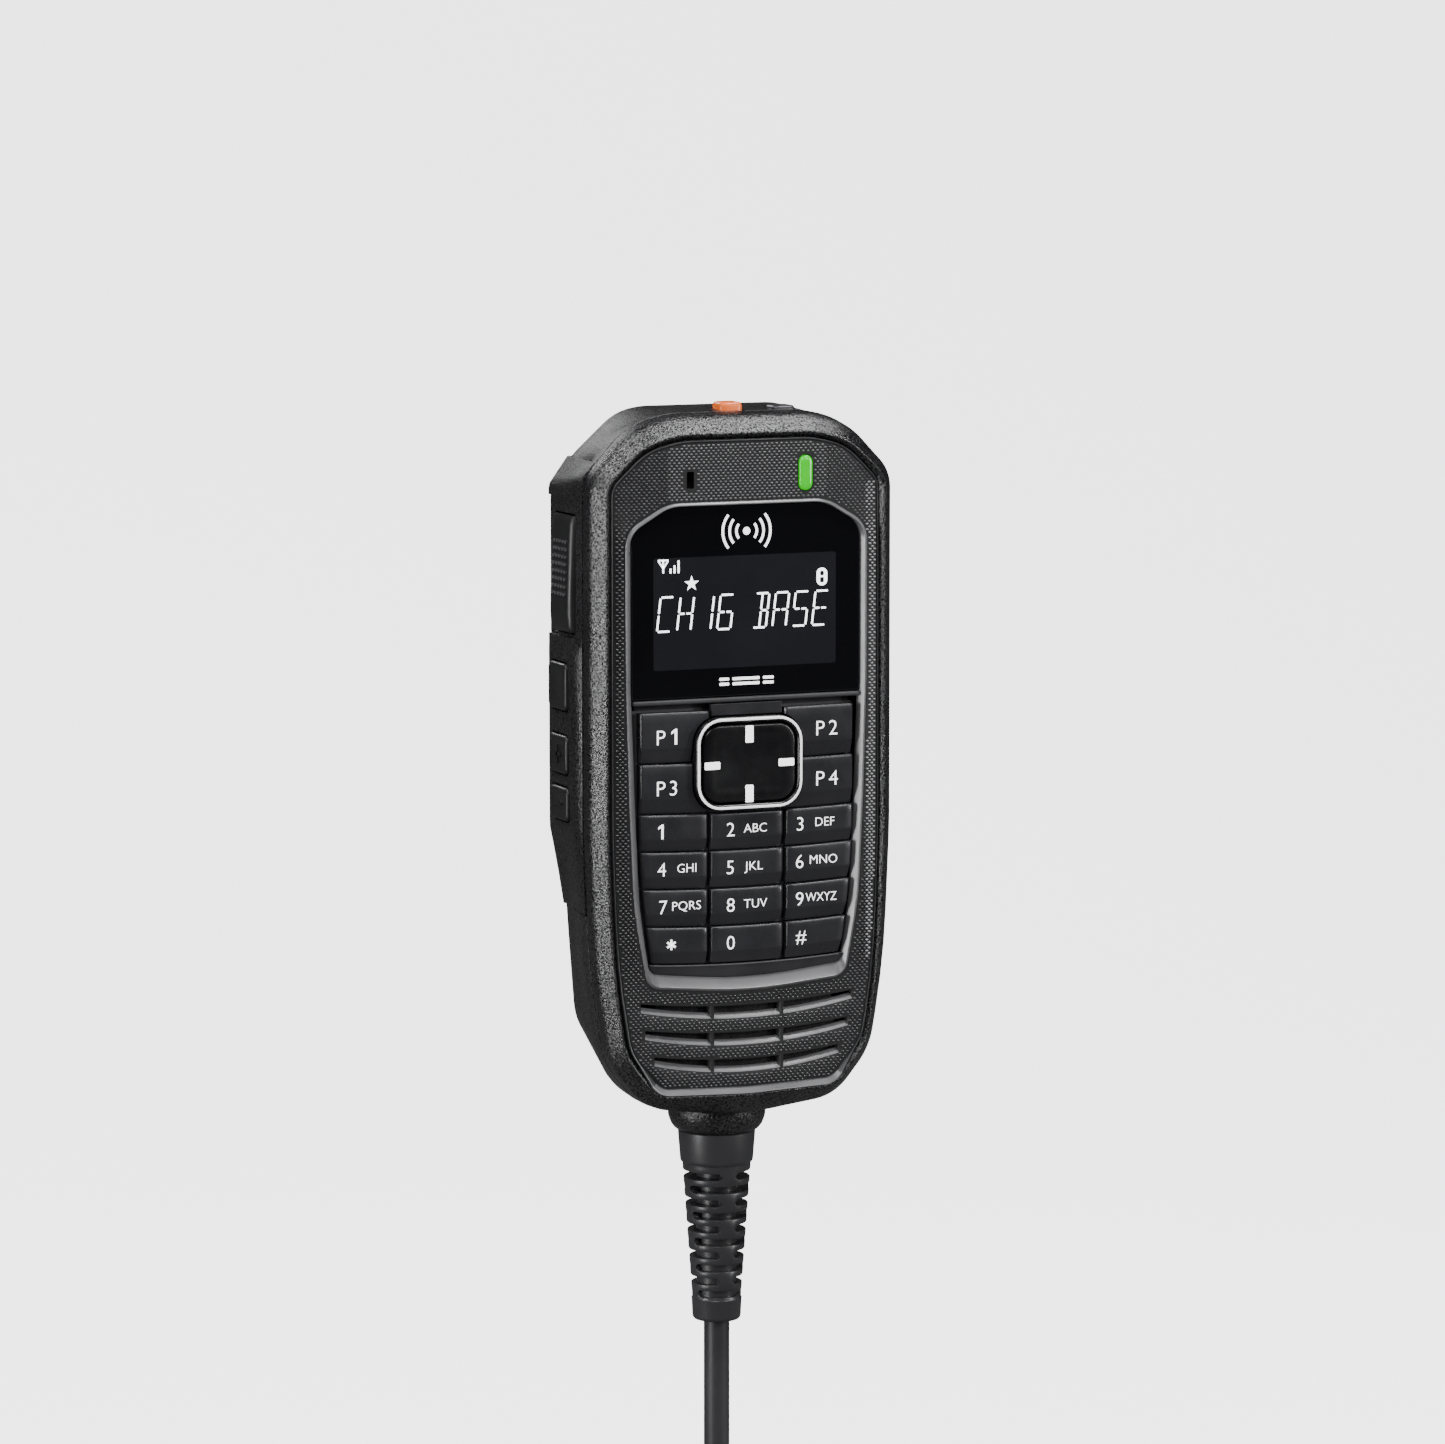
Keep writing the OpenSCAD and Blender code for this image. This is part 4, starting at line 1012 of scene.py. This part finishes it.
def case_side(y, z):
    """Distance of the case's flank from the middle plane at depth y and height z, above the talk key."""
    t = chamfer(y)
    za, zb, xb = mix(123.6, 121.3, t), mix(133.6, 127.2, t), mix(22.3, 26.8, t)
    return mix(31.1, xb, clamp((z - za) / (zb - za)))


def draw_in(z):
    """How far the cover's back edge stands inside its front edge at height z."""
    return 0.2 + 2 * clamp((62 - z) / 21.5) ** 1.2


def round_off(share):
    """Fall of a quarter-round edge, from 1 at the edge to 0 at its inner end."""
    return 1 - math.sqrt(max(0, 1 - (1 - share) ** 2))


def side_plate(rows, y0, y1, r_edge, steps=14):
    """Rubber plate whose face runs through rows of (x, z) and whose long edges are rounded."""
    rings = []
    for x, z in rows:
        face = []
        for k in range(steps + 1):
            y = mix(y0, y1, k / steps)
            drop = r_edge * 0.45 * round_off(min(1, min(y - y0, y1 - y) / r_edge))
            side = case_side(y, z)
            reach = min(-x, side + 0.3) if z > 117 else -x - slim(y) * draw_in(z)
            face.append((-max(reach - drop, min(side + 0.12, reach)), y, z))
        rings.append(face + [(face[-1][0] + 1.6, y1, z), (face[0][0] + 1.6, y0, z)])
    return loft(rings)


def slab(y0, y1, z0, z1, r, x0, x1, mat, steps=6):
    """Plate square to X with rounded corners."""
    return (*along("x", rect(y0, y1, z0, z1, r, steps), x0, x1), mat)


cover_rows = [(-30.62, 40.5), (-30.95, 46.4), (-31.4, 51.5), (-31.85, 55.5), (-32, 57.5), (-32.05, 66),
              (-32.15, 75), (-32.2, 84), (-32.25, 89.6), (-32.1, 91.2), (-31.7, 92.3), (-31.5, 93.2), (-31.45, 94.2),
              (-31.45, 116.6), (-31.6, 117.6)]
cover_rows += [(-31.8, z) for z in (118.8, 119.6, 120.6, 121.6, 122.8, 124, 125.3, 126.3, 126.6)]
cover = build("side_cover_rubber", [(*side_plate(cover_rows, -8.6, 8.4, 3.2), "side")], 50)
# Lower end, upper end and face of each key
SIDE_KEYS = {"volume_down_key": (57.8, 64.2, -32.45), "volume_up_key": (66.8, 74.2, -32.6),
             "side_key": (79, 88, -32.7)}
openings = [slab(-3.95, 5.75, z0 - 0.35, z1 + 0.35, 1.45, -40, -29.8, "side") for z0, z1, _ in SIDE_KEYS.values()]
openings.append(slab(-6, 10.5, 92.9, 119.4, 2, -40, -29.4, "side"))
cut(cover, *[build("cutter", [opening]) for opening in openings])
bevel(cover, 0.22, 2, 50, 45)
hand_in(cover, "case", "side_rubber", "side_cover")
gasket = build("talk_key_gasket", [slab(-6.4, 8.3, 92.5, 119.8, 1, -30.9, -30.2, "side")])
cut(gasket, build("cutter", [slab(-4.95, 6, 93.6, 116.5, 0.8, -40, -20, "side")]))
bevel(gasket, 0.12, 1, 50)
hand_in(gasket, "case", "side_rubber")

for name, (z0, z1, face) in SIDE_KEYS.items():
    rings = []
    for d, x in ((0, -27.8), (0, face + 0.55), (0.12, face + 0.22), (0.4, face + 0.03), (0.75, face),
                 (1.3, face + 0.02), (1.6, face + 0.12)):
        edge = rect(-3.6 + d, 5.4 - d, z0 + d, z1 - d, max(1.2 - d * 0.6, 0.25))
        rings.append([(x, *p) for p in edge])
    parts = [(*loft(rings), "cap")]
    middle = (z0 + z1) / 2
    if name != "side_key":
        parts.append(slab(-0.9, 2.7, middle - 0.35, middle + 0.35, 0.2, face - 0.15, face + 0.5, "cap", 2))
    if name == "volume_up_key":
        parts.append(slab(0.55, 1.25, middle - 1.8, middle + 1.8, 0.2, face - 0.15, face + 0.5, "cap", 2))
    piece(name + "_cap", parts, name, "side_key_rubber", name, angle=45)

TALK_FRONT, TALK_BACK, TALK_STEPS = -4.6, 5.7, 14
talk_rows = [(-30, 93.9), (-31.4, 93.9), (-31.85, 94.2), (-32.2, 95), (-32.35, 97.5), (-32.3, 101), (-32, 110),
             (-31.8, 114.4), (-31.65, 115.5), (-31.3, 116.2), (-30, 116.2)]
rings = []
for x, z in talk_rows:
    ring = []
    for k in range(TALK_STEPS + 1):
        y = mix(TALK_FRONT, TALK_BACK, k / TALK_STEPS)
        share = min(1, min(y - TALK_FRONT, TALK_BACK - y) / 1.3)
        ring.append((min(x + 0.9 * round_off(share), -29.9), y, z))
    rings.append(ring + [(-29.8, TALK_BACK, z), (-29.8, TALK_FRONT, z)])
parts = [(*loft(rings), "cap")]
# Ribs across the talk key, in the lighter rubber that paints their highlight.
for row in range(8):
    z = 100.9 + 1.42 * row
    for col in range(5):
        y = -3.1 + 1.45 * col
        parts.append(slab(y, y + 1, z, z + 0.6, 0.2, mix(-32.58, -32.23, (z - 101) / 9), -31.2, "rib", 2))
piece("talk_button_cap", parts, "talk_button", "side_key_rubber", "talk_button", angle=45)


# ---------------- top keys

for name, x, top, mat, slot in (("emergency_key", 0, 137.1, "orange", "orange_key"),
                                ("top_key", 11, 136.2, "key", "key_satin")):
    rings = []
    for d, z in ((0, 132), (0, top - 0.7), (0.1, top - 0.32), (0.35, top - 0.08), (0.7, top), (1.3, top + 0.02)):
        edge = rect(x - 2.35 + d, x + 2.35 - d, -7.65 + d, -2.75 - d, max(1.1 - d * 0.6, 0.2))
        rings.append([(*p, z) for p in edge])
    piece(name + "_cap", [(*loft(rings), mat)], name, slot, name, angle=45)


# ---------------- hanger stud

stud_profile = [(1.7, 14.5), (4.2, 14.5), (3.65, 14.9), (3.5, 15.3), (3.5, 16.7), (3.6, 16.9), (6.2, 16.9),
                (6.5, 17.2), (6.5, 18.6), (6.35, 18.9), (6, 19.05), (5.2, 19.1), (3.3, 19.1), (2.95, 18.9),
                (2.95, 17.5), (1.7, 17.5)]
stud = spun(stud_profile, 64, "y", (0, 0, STUD_Z))
piece("hanger_stud_metal", [(*stud, "stud")], "case", "stud_metal", "hanger_stud", angle=40)


# ---------------- strain relief

SLOTS, SLOT_PITCH, SLOT_HEIGHT, BRIDGE_HALF, CORE_R = 10, 2.6, 0.72, 1.55, 3.9


def relief_r(z):
    return 6.6 + (z + 11.5) * 0.072


def slot_ring(middle, turn, side, edge, n):
    """One edge of a slot round the sleeve. The slot closes over two bridges at turn and opposite it."""
    ring = []
    for k in range(n):
        t = 360 * k / n
        arc = math.radians(abs((t - turn) % 180 - 90)) * relief_r(middle) - BRIDGE_HALF
        half = SLOT_HEIGHT
        if arc < half:
            half = math.sqrt(max(0, half * half - (half - max(arc, 0)) ** 2))
        half = max(half, 0.02)
        z = middle + side * {"out": half + 0.13, "lip": half, "floor": max(half - 0.05, 0.01)}[edge]
        r = relief_r(z)
        if edge == "lip":
            r -= 0.07 * clamp(arc / 0.3)
        if edge == "floor" and arc > 0:
            r -= (r - CORE_R) * min(1, arc / 0.12)
        ring.append((r * math.cos(math.radians(t)), r * math.sin(math.radians(t)), z))
    return ring


def relief_mesh(n=96):
    """Sleeve, slotted stretch and end sleeve as one closed skin of rings from the top down."""
    rings = [circle(r, n, z) for r, z in (
        (2.55, 2), (6.2, 2), (6.2, -4.25), (7.3, -4.25), (7.48, -4.4), (7.5, -4.7), (7.1, -9.8), (7.02, -10.3),
        (6.8, -10.55), (6.64, -10.7), (6.6, -11.2))]
    for i in range(SLOTS):
        for side, edge in ((1, "out"), (1, "lip"), (1, "floor"), (-1, "floor"), (-1, "lip"), (-1, "out")):
            rings.append(slot_ring(-12.775 - SLOT_PITCH * i, 90 * (i % 2), side, edge, n))
    rings += [circle(r, n, z) for r, z in (
        (relief_r(-37.2), -37.2), (4.92, -37.5), (4.86, -37.7), (4.72, -40.9), (4.6, -41.3), (4.3, -41.6),
        (4, SLEEVE_END), (2.55, SLEEVE_END))]
    return loft(rings, closed=True)


piece("strain_relief_slotted", [(*relief_mesh(), "relief")], "case", "relief_black", "strain_relief", angle=38)


# ---------------- tie and plug

def round_coil(points, angle):
    """Points drawn at the coil's axis, turned about it."""
    c, s = math.cos(math.radians(angle)), math.sin(math.radians(angle))
    return [(x * c - z * s, y + COIL[1], x * s + z * c + COIL[2]) for x, y, z in points]


# Strap round all the turns: its inside spans low..high and -half..half, and it is strap mm thick.
low, high, half, strap = 17.6, 33.4, 10.25, 1.1
outer = rect(-half - strap, half + strap, low - strap, high + strap, 2.2)
inner = rect(-half, half, low, high, 1.2)
worn = [(y * 0.992, z + (25.5 - z) * 0.012) for y, z in outer]
rings = [[(x, *p) for p in edge] for x, edge in (
    (-2.8, outer), (-3, worn), (-3, inner), (3, inner), (3, worn), (2.8, outer))]
out = -half - strap
tab = [(out - 0.9, 20), (out, 19.2), (out, 31), (out - 0.9, 30.6)]
parts = []
for verts, faces in (loft(rings, closed=True), along("x", tab, -2.8, 2.8)):
    parts.append((round_coil(verts, 25), faces, "tie"))
tie = piece("cord_tie_strap", parts, "case", "tie_fabric", "cord_tie", angle=45)


def from_node(name, node, mat, width):
    """A copy of a CAD solid with its edges broken by a fine bevel."""
    me = NODES[node].data.copy()
    me.name = name
    me.materials.clear()
    me.materials.append(M[mat])
    weld(me, 1e-6, flat=1)
    for p in me.polygons:
        p.material_index = 0
    return bevel(new_object(name, me), width)


plug = from_node("plug_body_clear", "plug_body", "clear", 0.18)
hand_in(plug, "case", "plug_clear", "plug_body")
latch = from_node("plug_latch_clear", "plug_latch", "clear", 0.12)
hand_in(latch, "plug_latch", "plug_clear", "plug_latch")
boot_profile = [(2.55, BOOT_TOP), (3.3, BOOT_TOP), (3.55, BOOT_TOP - 0.4)]
for k in range(9):
    for rise, below in ((0, 0), (0.22, 0.12), (0.22, 0.55), (0, 0.68)):
        boot_profile.append((3.6 + 0.1 * k + rise, -148 - 1.1 * k - below))
boot_profile += [(4.6, -158.6), (4.8, -158.9), (4.8, -162.7), (4.6, -163), (2.55, -163)]
sleeve = spun(boot_profile, 48, "z", (PLUG_X, PLUG_Y, 0))
boot = piece("plug_boot_ribbed", [(*sleeve, "relief")], "case", "relief_black", "plug_boot", angle=45)


# ---------------- finishes of the CAD nodes that stay

KEPT = {
    "seal": ("case_seal", "microphone_boot"), "brass": ("case_inserts", "plug_contacts"), "glass": ("lcd_module",),
    "steel": ("case_screws", "key_domes", "stud_screw", "cord_clamp"), "white": ("lcd_holder",),
    "silicone": ("keypad_membrane",), "board": ("main_board", "side_board"), "grey": ("nav_rocker", "tact_switches"),
    "can": ("microphone_capsule",), "frame": ("speaker",), "film": ("speaker_cone",), "cloth": ("speaker_mesh",)}
for mat, names in KEPT.items():
    for name in names:
        obj = NODES[name]
        if not obj.material_slots:
            obj.data.materials.append(M[mat])
        for ms in obj.material_slots:
            ms.material = M[mat]


# ---------------- floor, backdrop and lights

def for_camera(nt, dim, bright):
    """Range that is bright where the camera sees the surface itself, and dim where it lights the part."""
    path = put(nt, "ShaderNodeLightPath")
    n = put(nt, "ShaderNodeMapRange", To_Min=dim, To_Max=bright)
    nt.links.new(path.outputs["Is Camera Ray"], n.inputs["Value"])
    return n


BACKDROP_GLOW = 3
FLOOR_Z = at((0, 0, -200)).z
mat = bpy.data.materials.new("studio_white")
nt, bsdf = nodes_of(mat)
coord = put(nt, "ShaderNodeTexCoord")
noise = put(nt, "ShaderNodeTexNoise", Scale=3)
nt.links.new(coord.outputs["Object"], noise.inputs["Vector"])
bsdf.inputs["Roughness"].default_value = 0.9
bsdf.inputs["Emission Color"].default_value = (1, 1, 1, 1)
shade = for_camera(nt, 0.1, 1)
nt.links.new(spread(nt, noise.outputs["Fac"], 0.93, 0.95, 0, 1), shade.inputs["To Max"])
nt.links.new(shade.outputs["Result"], bsdf.inputs["Base Color"])
nt.links.new(for_camera(nt, 0.02, BACKDROP_GLOW).outputs["Result"], bsdf.inputs["Emission Strength"])
# The floor runs back, turns up through a quarter circle of 1 m and goes on as the wall.
turn = [math.pi / 2 * k / 16 for k in range(17)]
line = [(-2.2, FLOOR_Z)] + [(0.9 + math.sin(t), FLOOR_Z + 1 - math.cos(t)) for t in turn] + [(1.9, 3.2)]
n = len(line)
me = bpy.data.meshes.new("studio_sweep")
me.from_pydata([(x, y, z) for x in (-3, 3) for y, z in line], [],
               [[k, k + 1, n + k + 1, n + k] for k in range(n - 1)])
me.materials.append(mat)
for p in me.polygons:
    p.use_smooth = True
new_object("studio_sweep", me)

AIMED_AT = Vector((0, -0.02, 0))
for name, place, width, height, power in (
        ("key_top", (0.4, -0.22, 0.98), 0.55, 0.3, 12), ("corner_left", (-0.5, -0.12, 0.92), 0.4, 0.4, 6),
        ("front_left", (-0.45, -0.85, 0.65), 0.35, 0.35, 4), ("strip_left", (-1.04, -0.22, -0.03), 0.22, 0.6, 8.5),
        ("strip_right", (0.86, -0.71, 0.16), 0.14, 0.5, 6), ("front_right", (0.5, -1.02, 0.42), 0.3, 0.3, 2.6),
        ("rim_back", (-0.15, 1.1, 0.62), 0.3, 0.3, 3)):
    data = bpy.data.lights.new(name, "AREA")
    data.energy = power
    data.shape = "RECTANGLE"
    data.size = width
    data.size_y = height
    lamp = new_object(name, data)
    lamp.location = place
    lamp.rotation_euler = (AIMED_AT - Vector(place)).to_track_quat("-Z", "Y").to_euler()

world = bpy.data.worlds.new("world")
bpy.context.scene.world = world
world.use_nodes = True
sky = world.node_tree
sky.nodes["Background"].inputs["Color"].default_value = (1, 1, 1, 1)
sky.links.new(for_camera(sky, 0.012, BACKDROP_GLOW).outputs["Result"], sky.nodes["Background"].inputs["Strength"])
